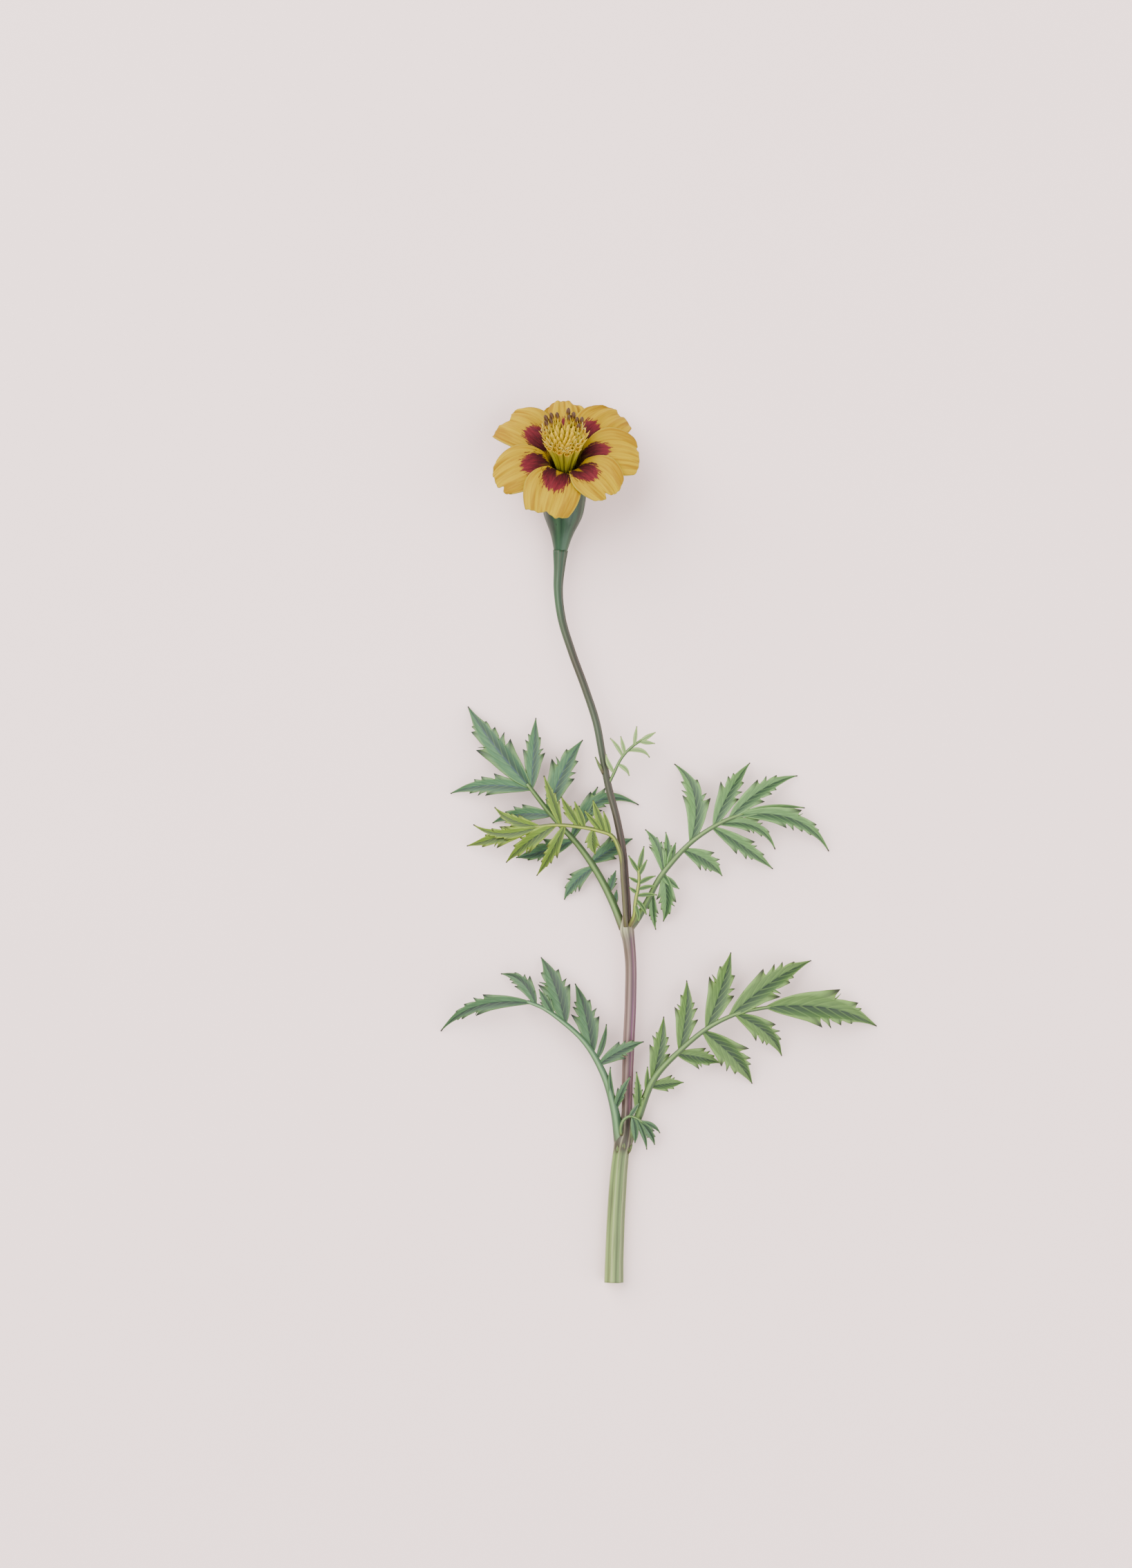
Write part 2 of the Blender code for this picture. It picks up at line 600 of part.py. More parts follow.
def petal_profile(azimuth):
    """Radius and height on the flared surface at an azimuth, from the foot of the claws."""
    back = math.sin(azimuth)
    slope = SLOPE_AT_CLAW[0] + SLOPE_AT_CLAW[1] * back
    end_slope = SLOPE_AT_END[0] + SLOPE_AT_END[1] * back
    radius, height = sum(COLLAR_RADII) / 2.0, CLAW_BOTTOM
    lengths, radii, heights = [0.0], [radius], [height]
    while lengths[-1] < CLAW_HEIGHT + SURFACE_REACH:
        f = max(0.0, (lengths[-1] - CLAW_HEIGHT) / LIMB_LENGTH)
        angle = slope + (end_slope - slope) * f
        if f < CLAW_BEND:
            angle = 90.0 + (angle - 90.0) * f / CLAW_BEND
        radius += PROFILE_STEP * math.cos(math.radians(angle))
        height += PROFILE_STEP * math.sin(math.radians(angle))
        lengths.append(lengths[-1] + PROFILE_STEP)
        radii.append(radius)
        heights.append(height)
    return lengths, radii, heights


def petal(index, collection):
    """A clawed petal with a broad, rounded and shallowly lobed limb."""
    azimuth, limb, width, lobes, right_side, left_side = PETALS[index]
    turn = math.radians(azimuth)
    lengths, radii, heights = petal_profile(turn)
    head = head_matrix()

    def place(u, row):
        v = row / PETAL_ROWS * (CLAW_HEIGHT + limb)
        f = max(0.0, (v - CLAW_HEIGHT) / limb)
        rounding = END_ROUNDING * abs(u) ** 3 * f
        wave = (1.0 + math.cos(math.pi * lobes * (u + 1.0))) / 2.0
        lobing = LOBE_DEPTH * wave * (1.0 - u**4) * f**4
        along = v * (1.0 - rounding - lobing)
        spread = math.sin(math.pi / 2.0 * min(1.0, f / LIMB_SPREAD)) ** 1.4
        half = CLAW_HALF_WIDTH + (width / 2.0 - CLAW_HALF_WIDTH) * spread
        half *= 1.0 - END_NARROWING * max(0.0, (f - LIMB_SPREAD) / (1.0 - LIMB_SPREAD)) ** 2
        ahead = np.interp(along, lengths, radii)
        height = np.interp(along, lengths, heights)
        radius = math.hypot(ahead, u * half)
        spot = turn + math.atan2(u * half, ahead)
        on_limb = min(1.0, f / CLAW_BEND)
        _, ring_radii, ring_heights = petal_profile(spot)
        height += (np.interp(radius, ring_radii, ring_heights) - height) * on_limb
        side = right_side if u < 0.0 else left_side
        height += EDGE_LIFT * side * abs(u) * on_limb + EDGE_CUPPING * u * u * f * (1.0 - f)
        local = Vector((radius * math.cos(spot), radius * math.sin(spot), height))
        return (head @ (local * MM)) / MM

    return blade("petal", PETAL_COLUMNS, PETAL_ROWS, place, PETAL_BLADE, collection)


def build_rays(plant):
    inner, outer = COLLAR_RADII
    foot = -CUP_HOLLOW + GAP
    profile = [(outer, COLLAR_TOP), (outer, foot), (inner, foot), (inner, COLLAR_TOP)]
    rays = turned("ray_florets", profile, COLLAR_SIDES, plant)
    rays.data.transform(head_matrix())
    petals = new_collection("petals")
    for index in range(len(PETALS)):
        petal(index, petals)
    unite(rays, petals)
    give_material(rays, "F2CF2E", 0.5)


def build_disc(plant):
    """The bunch of tubular florets, sunk by their roots in a smaller core."""
    core = turned("disc_florets", CORE_PROFILE[::-1], CORE_SIDES, plant)
    florets = new_collection("florets")
    low, high = DISC_HEIGHTS
    for index in range(DISC_FLORETS):
        share = math.sqrt((index + 0.5) / DISC_FLORETS)
        turn = index * GOLDEN_ANGLE
        out = Vector((math.cos(turn), math.sin(turn), 0.0))
        root = out * DISC_ROOT_RADIUS * share + UP * 2.0
        height = low + (high - low + DISC_BACK_RISE * out.y) * share
        top = out * DISC_TOP_RADIUS * share + UP * height
        bend = out * (DISC_ROOT_RADIUS + 0.5) * share + UP * 6.5
        rows = []
        for t, radius in FLORET_RADII:
            point = root * (1 - t) ** 2 + bend * 2 * t * (1 - t) + top * t**2
            rows.append((*point, radius))
        tube("floret", rows, florets)
    unite(core, florets)
    core.data.transform(head_matrix())
    give_material(core, "A89A34", 0.6)


def main():
    for old in list(bpy.data.objects):
        bpy.data.objects.remove(old)
    plant = new_collection("french_marigold_flower_stem")
    cutters = new_collection("cutters")
    room = build_stem(plant, cutters)
    frond("leaf_lower_left", LOWER_LEFT, "4F8A57", room, plant)
    frond("leaf_lower_right", LOWER_RIGHT, "6F9C45", room, plant)
    frond("leaf_lower_young", LOWER_CURL, "7FA04A", room, plant)
    frond("leaf_upper_left", UPPER_LEFT, "3F7F58", room, plant)
    frond("leaf_upper_front", UPPER_LEFT_FRONT, "8FAE3E", room, plant)
    frond("leaf_upper_right", UPPER_RIGHT, "6A9A48", room, plant)
    frond("axil_shoot", AXIL_SHOOT, "5F9440", room, plant)
    frond("peduncle_bract", BRACT, "5C8A4C", room, plant)
    build_cup(plant)
    build_rays(plant)
    build_disc(plant)


main()
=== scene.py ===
"""A cut flower stem of single French marigold, lying face up, seen from straight above.

The camera looks down on the stem as it lies on a plain pale floor under soft studio light.
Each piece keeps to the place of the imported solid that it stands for. Lengths are in
millimetres until a point goes into a mesh.
"""

import math

import bpy
import numpy as np
from mathutils import Matrix, Vector

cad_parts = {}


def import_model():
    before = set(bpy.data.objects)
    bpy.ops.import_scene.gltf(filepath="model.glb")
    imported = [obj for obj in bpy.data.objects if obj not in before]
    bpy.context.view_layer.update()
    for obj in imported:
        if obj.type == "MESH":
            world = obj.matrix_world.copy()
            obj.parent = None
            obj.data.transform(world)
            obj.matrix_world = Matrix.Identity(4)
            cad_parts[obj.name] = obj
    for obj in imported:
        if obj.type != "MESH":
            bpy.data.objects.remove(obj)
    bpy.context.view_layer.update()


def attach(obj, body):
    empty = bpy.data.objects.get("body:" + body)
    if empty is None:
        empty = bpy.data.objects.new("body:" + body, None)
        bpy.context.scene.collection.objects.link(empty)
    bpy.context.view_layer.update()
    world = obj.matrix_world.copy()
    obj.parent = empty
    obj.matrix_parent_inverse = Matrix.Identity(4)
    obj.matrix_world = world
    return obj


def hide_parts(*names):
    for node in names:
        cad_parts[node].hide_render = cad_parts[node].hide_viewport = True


MM = 0.001
UP = Vector((0.0, 0.0, 1.0))
TO_LIGHT = Vector((-0.8, 0.6, 0.0))  # the side from which the leaves are lit, and to which each leaflet's painted lit half is turned
SKIN_IOR = 1.4

# The stem's middle line: x, y, z and radius.
STEM = [
    (-0.3, -12.0, 2.62, 2.89),
    (-0.2, -6.0, 2.55, 2.80),
    (0.0, 0.0, 2.50, 2.75),
    (0.4, 9.0, 2.50, 2.68),
    (0.9, 17.0, 2.62, 2.62),
    (1.5, 24.0, 2.85, 2.50),
    (2.0, 28.0, 3.15, 2.45),
    (2.6, 31.0, 3.40, 2.70),
    (3.3, 33.8, 3.50, 2.05),
    (3.6, 38.0, 3.60, 1.68),
    (3.8, 48.0, 3.85, 1.68),
    (4.2, 60.0, 4.20, 1.75),
    (4.8, 75.0, 4.60, 1.75),
    (4.7, 88.0, 5.10, 1.75),
    (4.2, 92.5, 5.25, 1.90),
    (3.7, 95.7, 5.40, 2.15),
    (3.7, 98.8, 5.50, 1.45),
    (3.7, 103.0, 5.65, 1.20),
    (3.2, 111.0, 5.90, 1.15),
    (2.4, 120.0, 6.20, 1.10),
    (0.6, 129.5, 6.45, 1.08),
    (-1.9, 139.0, 6.60, 1.10),
    (-3.8, 149.0, 6.60, 1.10),
    (-5.6, 158.5, 6.50, 1.15),
    (-9.0, 169.0, 6.20, 1.15),
    (-13.2, 180.5, 5.70, 1.18),
    (-16.2, 190.5, 5.10, 1.26),
    (-17.2, 199.5, 4.85, 1.42),
    (-16.85, 206.0, 4.75, 1.75),
    (-16.56, 211.0, 4.76, 2.26),
]
STEM_POINTS = 330
STEM_SIDES = 42
STEM_RIBS = 7
RIB_DEPTH = 0.055  # share of the radius
STEM_NODES = [(30.5, 2.2), (95.5, 2.5)]  # y and reach of the swollen nodes
STEM_ENDS = (-12.0, 210.0)
# Colours of the stem's left and right side at shares of its length, the two ends first. The
# right side's colours are darker: painted shade, and between the nodes also the stem's own purple
# flush. The lower node is at 0.19 and the upper one at 0.485.
STEM_TONES = [
    (0.0, "#7d8e50", "#627543"),
    (1.0, "#2f4b34", "#223a28"),
    (0.175, "#6d8445", "#5a6b3d"),
    (0.184, "#433d30", "#362d27"),
    (0.222, "#473f34", "#3c2d2c"),
    (0.245, "#705852", "#582e3e"),
    (0.38, "#7b605c", "#603651"),
    (0.455, "#69574b", "#5a3845"),
    (0.472, "#75695a", "#503640"),
    (0.487, "#a2a27a", "#6c6450"),
    (0.505, "#493730", "#3b2324"),
    (0.58, "#473630", "#342020"),
    (0.68, "#424436", "#2d2a23"),
    (0.76, "#43503c", "#293427"),
    (0.85, "#403c31", "#2c2622"),
    (0.93, "#3a583b", "#1f3224"),
]
# Small scales round the lower node, and one beside the bract: y on the stem, azimuth, length,
# width and lean outwards.
NODE_SCALES = [
    (27.2, 12.0, 3.0, 1.3, 0.55),
    (27.6, 42.0, 2.0, 1.1, 0.40),
    (28.4, 74.0, 2.6, 1.2, 0.22),
    (28.0, 118.0, 2.0, 1.0, 0.20),
    (142.8, 150.0, 5.2, 1.0, 0.55),
]

# The cup under the flower: a curved middle line, the radii along it, and its teeth.
CUP_AXIS = [(-16.5, 210.3, 4.75), (-15.2, 228.5, 5.0), (-15.1, 233.9, 11.75)]
CUP_PROFILE = [
    (0.0, 1.9), (0.03, 2.3), (0.1, 2.75), (0.2, 3.95), (0.3, 5.45), (0.4, 6.25), (0.58, 6.65),
    (0.8, 6.5), (1.0, 6.15),
]
CUP_ROWS = 36
CUP_AXIS_STEPS = 40
CUP_WALL = 0.65
CUP_HOLLOW = 2.5  # depth of the flat-floored hollow that holds the florets
CUP_TEETH = 8
CUP_SIDES = 96
TOOTH_HEIGHT = 2.2
TOOTH_FLARE = 0.25
BRACT_SWELL = 0.16  # how far each of the joined bracts stands out between its seams

# The flared surface that the petals follow.
COLLAR_RADIUS = 4.775
CLAW_BOTTOM = -0.8
CLAW_HEIGHT = 5.2
CLAW_HALF_WIDTH = 2.5
CLAW_BEND = 0.12
LIMB_SPREAD = 0.62
SLOPE_AT_CLAW = (54.0, 8.0)
SLOPE_AT_END = (-36.0, 10.0)
LIMB_LENGTH = 20.0
SURFACE_REACH = 30.0
PROFILE_STEP = 0.5
EDGE_LIFT = 0.85
EDGE_CUPPING = 0.9
END_NARROWING = 0.24
PETAL_BLADE = 0.4
PETAL_COLUMNS = 40
PETAL_ROWS = 56
PLEAT_DEPTH = 0.36
PETAL_VEINS = 15.0
# Each petal: azimuth, limb length, half width to its right and left, over (+1) or under (-1)
# the neighbour at its right and left edges, rounding of its right and left corners, the
# notches of its end as place across, depth and width, and its blotch as place across, place
# along, half width, half length and how much of a yellow wedge is left at its foot.
PETALS = [
    (255.0, 20.5, (8.6, 8.5), (1, -1), (0.02, 0.08),
     [(0.0, 0.03, 0.3)], (-0.2, 12.0, 5.0, 6.0, 1.0)),
    (202.0, 21.5, (6.6, 8.4), (1, -1), (0.13, 0.12),
     [(0.55, 0.05, 0.12)], (1.0, 12.0, 4.8, 5.4, 0.1)),
    (143.0, 22.3, (7.2, 8.2), (1, -1), (0.13, 0.02),
     [(-0.15, 0.08, 0.32), (0.0, 0.025, 0.12)], (0.8, 13.0, 4.0, 5.0, 0.0)),
    (92.0, 18.4, (8.0, 7.4), (-1, -1), (0.13, 0.16),
     [(-0.5, 0.06, 0.16)], (-0.6, 11.8, 2.6, 5.0, 0.0)),
    (47.0, 23.0, (8.5, 6.2), (-1, 1), (0.06, 0.20),
     [(-0.15, 0.035, 0.2)], (0.0, 12.6, 4.6, 5.2, 0.0)),
    (1.0, 20.8, (8.4, 7.8), (-1, 1), (0.08, 0.08),
     [(0.35, 0.03, 0.18)], (0.2, 11.2, 3.7, 5.4, 0.1)),
    (314.0, 18.8, (8.0, 7.9), (1, 1), (0.10, 0.09),
     [(-0.25, 0.09, 0.13)], (-1.0, 11.4, 4.9, 5.2, 0.8)),
]

DISC_FLORETS = 58
DISC_ROOT_RADIUS = 2.6
DISC_TOP_RADIUS = 7.0
DISC_LEAN = (-0.5, 1.4, 0.0)  # how far the florets' tips lie to the left and the back
DISC_HEIGHTS = (14.6, 17.9)  # the innermost and the outermost
DISC_BACK_RISE = 1.7  # what the outermost gain at the back and lose at the front
FLORET_LENGTH = 14.0
FLORET_ROOT = 2.0  # height of the florets' roots in the core
FLORET_BEND = 6.5  # height at which they bend outwards
# A gap at the back, through which the petal behind shows its blotch.
GAP_AZIMUTH = math.radians(97.0)
GAP_HALF = math.radians(11.0)
GAP_REACH = math.radians(55.0)
CORE_SIDES = 24
CORE_PROFILE = [(0.02, -2.2), (2.2, -2.2), (2.0, 3.0), (2.4, 7.6), (0.02, 8.4)]
GOLDEN_ANGLE = math.pi * (3.0 - math.sqrt(5.0))

BLADE = 0.36
LEAFLET_ROOT = 0.8
NARROWING = 0.88  # how much of a leaflet's width the blade has between its teeth
LEAFLET_TIP = 0.24
LONGER_LEAFLETS = (13.0, 20.0, 28.0)  # lengths above which a leaflet has a further tooth a side
# The teeth of one edge, as place along the leaflet and size, for each class of length.
TEETH = [
    [(0.36, 0.9), (0.56, 0.6)],
    [(0.34, 1.0), (0.50, 0.8), (0.66, 0.4)],
    [(0.34, 1.0), (0.48, 0.9), (0.62, 0.55)],
    [(0.34, 1.0), (0.46, 0.95), (0.58, 0.7), (0.70, 0.35)],
]
TOOTH_REACH = 0.36  # how far a tooth stands out and the notch behind it goes in, as shares of
NOTCH_DEPTH = 0.30  # the blade's width there
NOTCH_PLACE = 0.26  # how far behind the tip the notch is, as a share of the gap before the tip
TOOTH_PULL = 0.22  # how far a tooth is drawn forwards, as a share of that gap
SIDE_SHIFT = 0.05  # how much later the left edge's teeth stand than the right edge's
SWEEP = 0.42  # how far a leaflet's edge is drawn forwards, for its distance from the rib
SWEEP_SKEW = 0.25
BEND_PLACE = 0.6
FOLD = 0.22
TOOTHED_WIDTH = 2.7
VEIN_PITCH = 9.0  # side veins along a leaflet
VEIN_LEAD = -1.7
BLADE_COLUMNS = 12
PLAIN_COLUMNS = 6
PLAIN_ROWS = 12
STALK_SIDES = 14
STALK_GROOVE = 0.16
FLUSH_FADE = 0.12  # share of a stalk over which its brown flush fades
RIPPLE = 0.10  # for a leaflet 8 mm wide
RIM_LIFT = 0.12
INNER_PART = 10 / 12  # share of the grid's columns that lie inside the teeth
INNER_SHARE = 0.68  # share of the width that those columns take

# Leaves, each as two lists. The first is its rachis, by x, y, z and radius. The second is its
# leaflets, each by its place along the rachis, its tip's x, y and z, its width, how far it
# bows to its left and how far it arches.
LOWER_RIGHT = [
    (3.6, 29.8, 3.4, 1.55),
    (7.2, 38.5, 4.4, 1.3),
    (11.8, 50.0, 7.0, 1.05),
    (20.5, 59.6, 9.6, 0.85),
    (29.0, 66.4, 10.5, 0.75),
    (37.4, 70.3, 10.0, 0.65),
    (47.5, 72.3, 8.6, 0.55),
], [
    (0.98, 80.0, 66.0, 0.5, 10.4, 3.0, 3.0),
    (0.80, 60.0, 86.0, 0.5, 8.4, 1.6, 2.5),
    (0.83, 51.0, 57.0, 1.0, 6.6, 2.1, 2.0),
    (0.68, 35.5, 88.5, 1.5, 7.8, -0.4, 2.0),
    (0.66, 42.0, 48.5, 0.5, 8.2, 1.4, 2.0),
    (0.52, 22.0, 80.0, 2.5, 6.4, -0.7, 1.5),
    (0.50, 32.0, 55.0, 4.0, 5.8, 0.4, 0.5),
    (0.32, 15.0, 69.0, 3.0, 5.8, -0.4, 1.5),
    (0.30, 21.0, 49.0, 3.5, 4.4, 0.2, 0.5),
    (0.26, 10.0, 54.0, 7.0, 1.8, 0.0, 0.0),
    (0.14, 6.6, 52.5, 7.8, 3.0, -0.3, 0.5),
]
LOWER_LEFT = [
    (1.8, 29.5, 3.4, 1.9),
    (0.0, 40.6, 5.0, 1.35),
    (-3.6, 52.3, 7.6, 1.1),
    (-9.7, 62.2, 9.5, 0.85),
    (-16.3, 68.2, 10.0, 0.75),
    (-21.9, 72.0, 9.5, 0.65),
    (-26.6, 73.9, 8.8, 0.55),
], [
    (0.98, -53.0, 64.5, 0.5, 5.0, -4.0, 2.5),
    (0.95, -34.6, 82.0, 1.5, 4.8, -2.4, 1.5),
    (0.84, -23.0, 77.5, 8.0, 3.2, 0.0, 0.5),
    (0.76, -22.4, 87.0, 1.0, 8.0, -1.0, 2.0),
    (0.54, -12.0, 79.0, 2.0, 7.0, -0.8, 2.0),
    (0.50, -2.5, 66.8, 5.0, 2.0, -0.5, 0.5),
    (0.47, 8.8, 61.5, 6.2, 4.8, 0.9, 1.8),
    (0.22, -1.3, 54.0, 8.8, 2.0, 0.5, 0.3),
    (0.20, 4.8, 51.0, 7.6, 2.8, 0.5, 1.0),
]
UPPER_LEFT = [
    (2.6, 95.8, 5.2, 1.3),
    (-0.4, 103.4, 4.3, 1.2),
    (-5.6, 113.5, 3.5, 1.1),
    (-11.4, 121.7, 4.4, 0.95),
    (-16.2, 127.0, 5.6, 0.85),
    (-21.1, 132.8, 7.0, 0.8),
    (-26.6, 140.0, 8.2, 0.65),
], [
    (0.97, -44.7, 163.5, 0.5, 8.8, 0.9, 2.5),
    (0.96, -24.0, 160.0, 1.0, 5.8, 0.1, 2.0),
    (0.96, -50.0, 137.0, 0.5, 5.8, -1.9, 2.0),
    (0.80, -9.7, 153.3, 1.0, 7.6, 1.4, 1.5),
    (0.77, -37.2, 128.0, 0.5, 5.2, -1.6, 0.5),
    (0.58, -30.0, 117.4, 0.5, 5.9, 0.4, 0.5),
    (0.60, -5.1, 139.0, 1.0, 4.2, 0.2, 0.5),
    (0.59, 7.4, 133.5, 0.7, 5.8, 6.8, 0.0),
    (0.42, 5.5, 123.2, 0.7, 6.2, 0.5, 0.0),
    (0.39, -15.3, 104.6, 0.5, 5.0, -1.2, 0.3),
    (0.22, 0.4, 113.5, 2.0, 2.8, 0.0, 0.0),
    (0.14, 0.7, 107.6, 2.8, 1.9, 0.0, 0.0),
]
UPPER_FRONT = [
    (3.5, 95.4, 5.9, 0.8),
    (3.3, 98.4, 8.0, 0.8),
    (3.0, 103.0, 8.5, 0.75),
    (2.4, 111.0, 8.8, 0.7),
    (1.4, 119.8, 9.2, 0.7),
    (-0.9, 124.2, 9.6, 0.65),
    (-5.1, 125.8, 10.2, 0.65),
    (-11.4, 127.0, 10.9, 0.6),
    (-17.7, 127.5, 11.0, 0.55),
    (-25.0, 126.8, 10.2, 0.5),
], [
    (0.98, -45.0, 121.0, 1.2, 5.2, 0.0, 2.0),
    (0.97, -43.0, 127.5, 2.6, 3.6, 2.4, 2.5),
    (0.96, -36.5, 132.8, 5.5, 3.8, 1.4, 1.5),
    (0.87, -33.0, 116.0, 3.2, 5.2, -1.0, 2.0),
    (0.82, -23.7, 112.0, 2.2, 4.0, 0.4, 2.0),
    (0.84, -21.5, 142.4, 10.4, 3.4, 0.0, 1.0),
    (0.74, -16.2, 136.0, 10.0, 3.2, 0.2, 0.5),
    (0.71, -12.2, 134.6, 10.3, 2.4, 0.0, 0.5),
    (0.66, -5.9, 118.6, 8.6, 4.2, -0.6, 0.5),
    (0.59, -6.6, 135.0, 9.2, 2.6, 0.2, 0.5),
    (0.56, -3.4, 131.6, 9.6, 1.9, 0.0, 0.5),
    (0.61, -9.2, 131.8, 9.8, 1.9, 0.0, 0.5),
]
UPPER_RIGHT = [
    (4.4, 95.6, 5.0, 1.25),
    (7.2, 99.4, 5.1, 1.15),
    (9.9, 104.2, 6.2, 0.95),
    (13.9, 111.7, 7.6, 0.9),
    (17.1, 115.8, 8.4, 0.85),
    (22.6, 121.7, 9.6, 0.8),
    (29.9, 126.9, 10.0, 0.7),
    (34.4, 129.2, 9.8, 0.65),
    (39.0, 130.8, 9.2, 0.55),
], [
    (0.98, 65.4, 119.4, 0.5, 5.7, 4.9, 2.5),
    (0.94, 58.0, 132.6, 1.5, 2.6, 1.3, 2.2),
    (0.91, 55.8, 142.4, 0.5, 5.8, 2.2, 2.0),
    (0.84, 49.0, 120.0, 1.0, 4.1, 3.8, 2.0),
    (0.81, 41.3, 146.3, 1.0, 6.2, 1.1, 2.5),
    (0.80, 48.3, 114.0, 0.5, 5.3, 0.6, 2.0),
    (0.64, 18.3, 146.0, 1.2, 7.1, -4.0, 2.5),
    (0.58, 32.8, 111.9, 2.2, 5.8, 1.2, 1.5),
    (0.40, 9.4, 126.0, 2.5, 4.1, -1.3, 1.0),
    (0.42, 15.6, 125.2, 3.2, 3.2, -0.5, 1.0),
    (0.44, 18.6, 122.0, 5.5, 2.4, 0.0, 0.5),
    (0.40, 14.9, 98.0, 1.5, 5.2, 1.0, 1.0),
    (0.38, 19.6, 108.0, 5.0, 2.6, 0.0, 0.5),
    (0.27, 12.6, 95.5, 1.2, 2.8, -0.4, 0.5),
]
AXIL_SHOOT = [
    (4.2, 96.2, 6.2, 0.8),
    (5.9, 99.6, 8.5, 0.7),
    (6.3, 104.0, 9.2, 0.65),
    (7.4, 111.0, 9.5, 0.55),
    (7.2, 114.5, 9.3, 0.5),
], [
    (0.97, 8.9, 121.0, 8.8, 1.7, 0.0, 0.3),
    (0.88, 9.8, 116.9, 9.3, 1.4, 0.0, 0.3),
    (0.93, 4.2, 118.2, 9.8, 1.4, 0.0, 0.3),
    (0.77, 4.4, 111.6, 10.0, 1.2, 0.0, 0.3),
    (0.60, 4.4, 108.6, 10.0, 1.2, 0.0, 0.3),
    (0.75, 12.4, 112.0, 10.4, 1.5, 0.3, 0.3),
    (0.66, 12.6, 108.9, 10.2, 1.4, 0.3, 0.3),
    (0.56, 12.8, 106.2, 10.0, 1.4, 0.3, 0.3),
    (0.50, 9.6, 100.3, 9.0, 1.5, 0.3, 0.5),
    (0.42, 7.2, 98.2, 10.2, 1.3, 0.3, 0.5),
]
YOUNG_CURL = [
    (2.0, 33.2, 5.6, 0.5),
    (1.9, 35.6, 6.9, 0.5),
    (2.8, 37.9, 7.5, 0.48),
    (4.4, 38.9, 7.6, 0.46),
    (6.6, 38.3, 7.4, 0.46),
    (8.4, 37.0, 6.8, 0.44),
], [
    (0.96, 13.8, 33.6, 3.4, 1.7, 0.8, 0.8),
    (0.90, 12.2, 30.0, 2.8, 3.0, 0.6, 0.8),
    (0.80, 9.8, 28.6, 3.6, 1.8, 0.5, 0.8),
    (0.70, 6.2, 30.8, 6.4, 2.6, 0.3, 0.5),
    (0.62, 7.4, 43.0, 7.8, 1.5, 0.0, 0.3),
]
BRACT = [
    (-2.0, 139.6, 6.7, 0.5),
    (-0.6, 142.4, 7.4, 0.5),
    (2.1, 147.8, 8.2, 0.45),
    (4.5, 150.6, 8.6, 0.45),
    (8.2, 153.3, 8.0, 0.4),
], [
    (0.97, 12.4, 155.6, 6.8, 1.5, 0.0, 0.3),
    (0.95, 12.2, 152.2, 6.4, 1.4, 0.0, 0.3),
    (0.84, 6.7, 157.4, 8.2, 1.3, 0.0, 0.3),
    (0.70, 10.6, 148.0, 6.6, 1.6, 1.2, 0.3),
    (0.62, 1.8, 154.4, 9.2, 1.3, 0.0, 0.3),
    (0.56, -1.4, 153.8, 9.0, 1.3, -0.3, 0.3),
    (0.40, 4.4, 142.4, 6.6, 1.5, 0.6, 0.3),
    (0.24, -2.6, 149.0, 9.0, 1.5, 0.5, 0.3),
]

# Leaf blades: colours of the half painted as lit, the middle, the half painted in shade, the rib,
# the rim and tips.
BLADES = {
    "leaf_blue_green": ("#3f603d", "#2e4a2e", "#1b2c1e", "#102017", "#587645", "#191c1d"),
    "leaf_silver_green": ("#426744", "#315237", "#1f3626", "#2d3e43", "#648249", "#191c1d"),
    "leaf_mid_green": ("#4b692c", "#365124", "#23371d", "#142613", "#719247", "#1e191a"),
    "leaf_fresh_green": ("#52783f", "#3c5b33", "#233b21", "#162617", "#709653", "#1e191a"),
    "leaf_yellow_green": ("#58721b", "#42591b", "#314116", "#1a2b14", "#80962b", "#202513"),
    "leaf_pale_green": ("#86a05e", "#769152", "#5d7848", "#4a6440", "#94ab62", "#56643c"),
}
# Leaf stalks: colours of the ridge with its painted highlight, the sides, the streaks and the
# base, and how far up the base's colour reaches.
STALKS = {
    "petiole_green": ("#6e8c47", "#445933", "#304523", "#564736", 0.10),
    "petiole_blue_green": ("#719663", "#43603f", "#2f4a32", "#4c4436", 0.11),
    "petiole_front": ("#98a433", "#5d6b2b", "#404a22", "#43362e", 0.50),
    "petiole_yellow": ("#98a433", "#5d6b2b", "#404a22", "#5a5232", 0.25),
}

CAMERA_PLACE = (-14.8, 139.9, 1595.6)
CAMERA_LENS = 120.0
CAMERA_SENSOR = 36.0
# Lights, in metres: name, place, width and power.
LIGHTS = [("key_light", (-1.1, 1.1, 1.5), 2.4, 127.0), ("fill_light", (1.3, -0.6, 1.4), 2.8, 95.0)]
LIGHT_AIM = Vector((0.0, 0.12, 0.0))
WORLD_LIGHT = 0.5
FLOOR_SIZE = 6.0
FLOOR_LEVEL = -0.0001


def linear(hex_colour):
    """A linear colour from an sRGB hex value."""
    channels = [int(hex_colour[k : k + 2], 16) / 255.0 for k in (1, 3, 5)]
    return (*[c / 12.92 if c <= 0.04045 else ((c + 0.055) / 1.055) ** 2.4 for c in channels], 1.0)


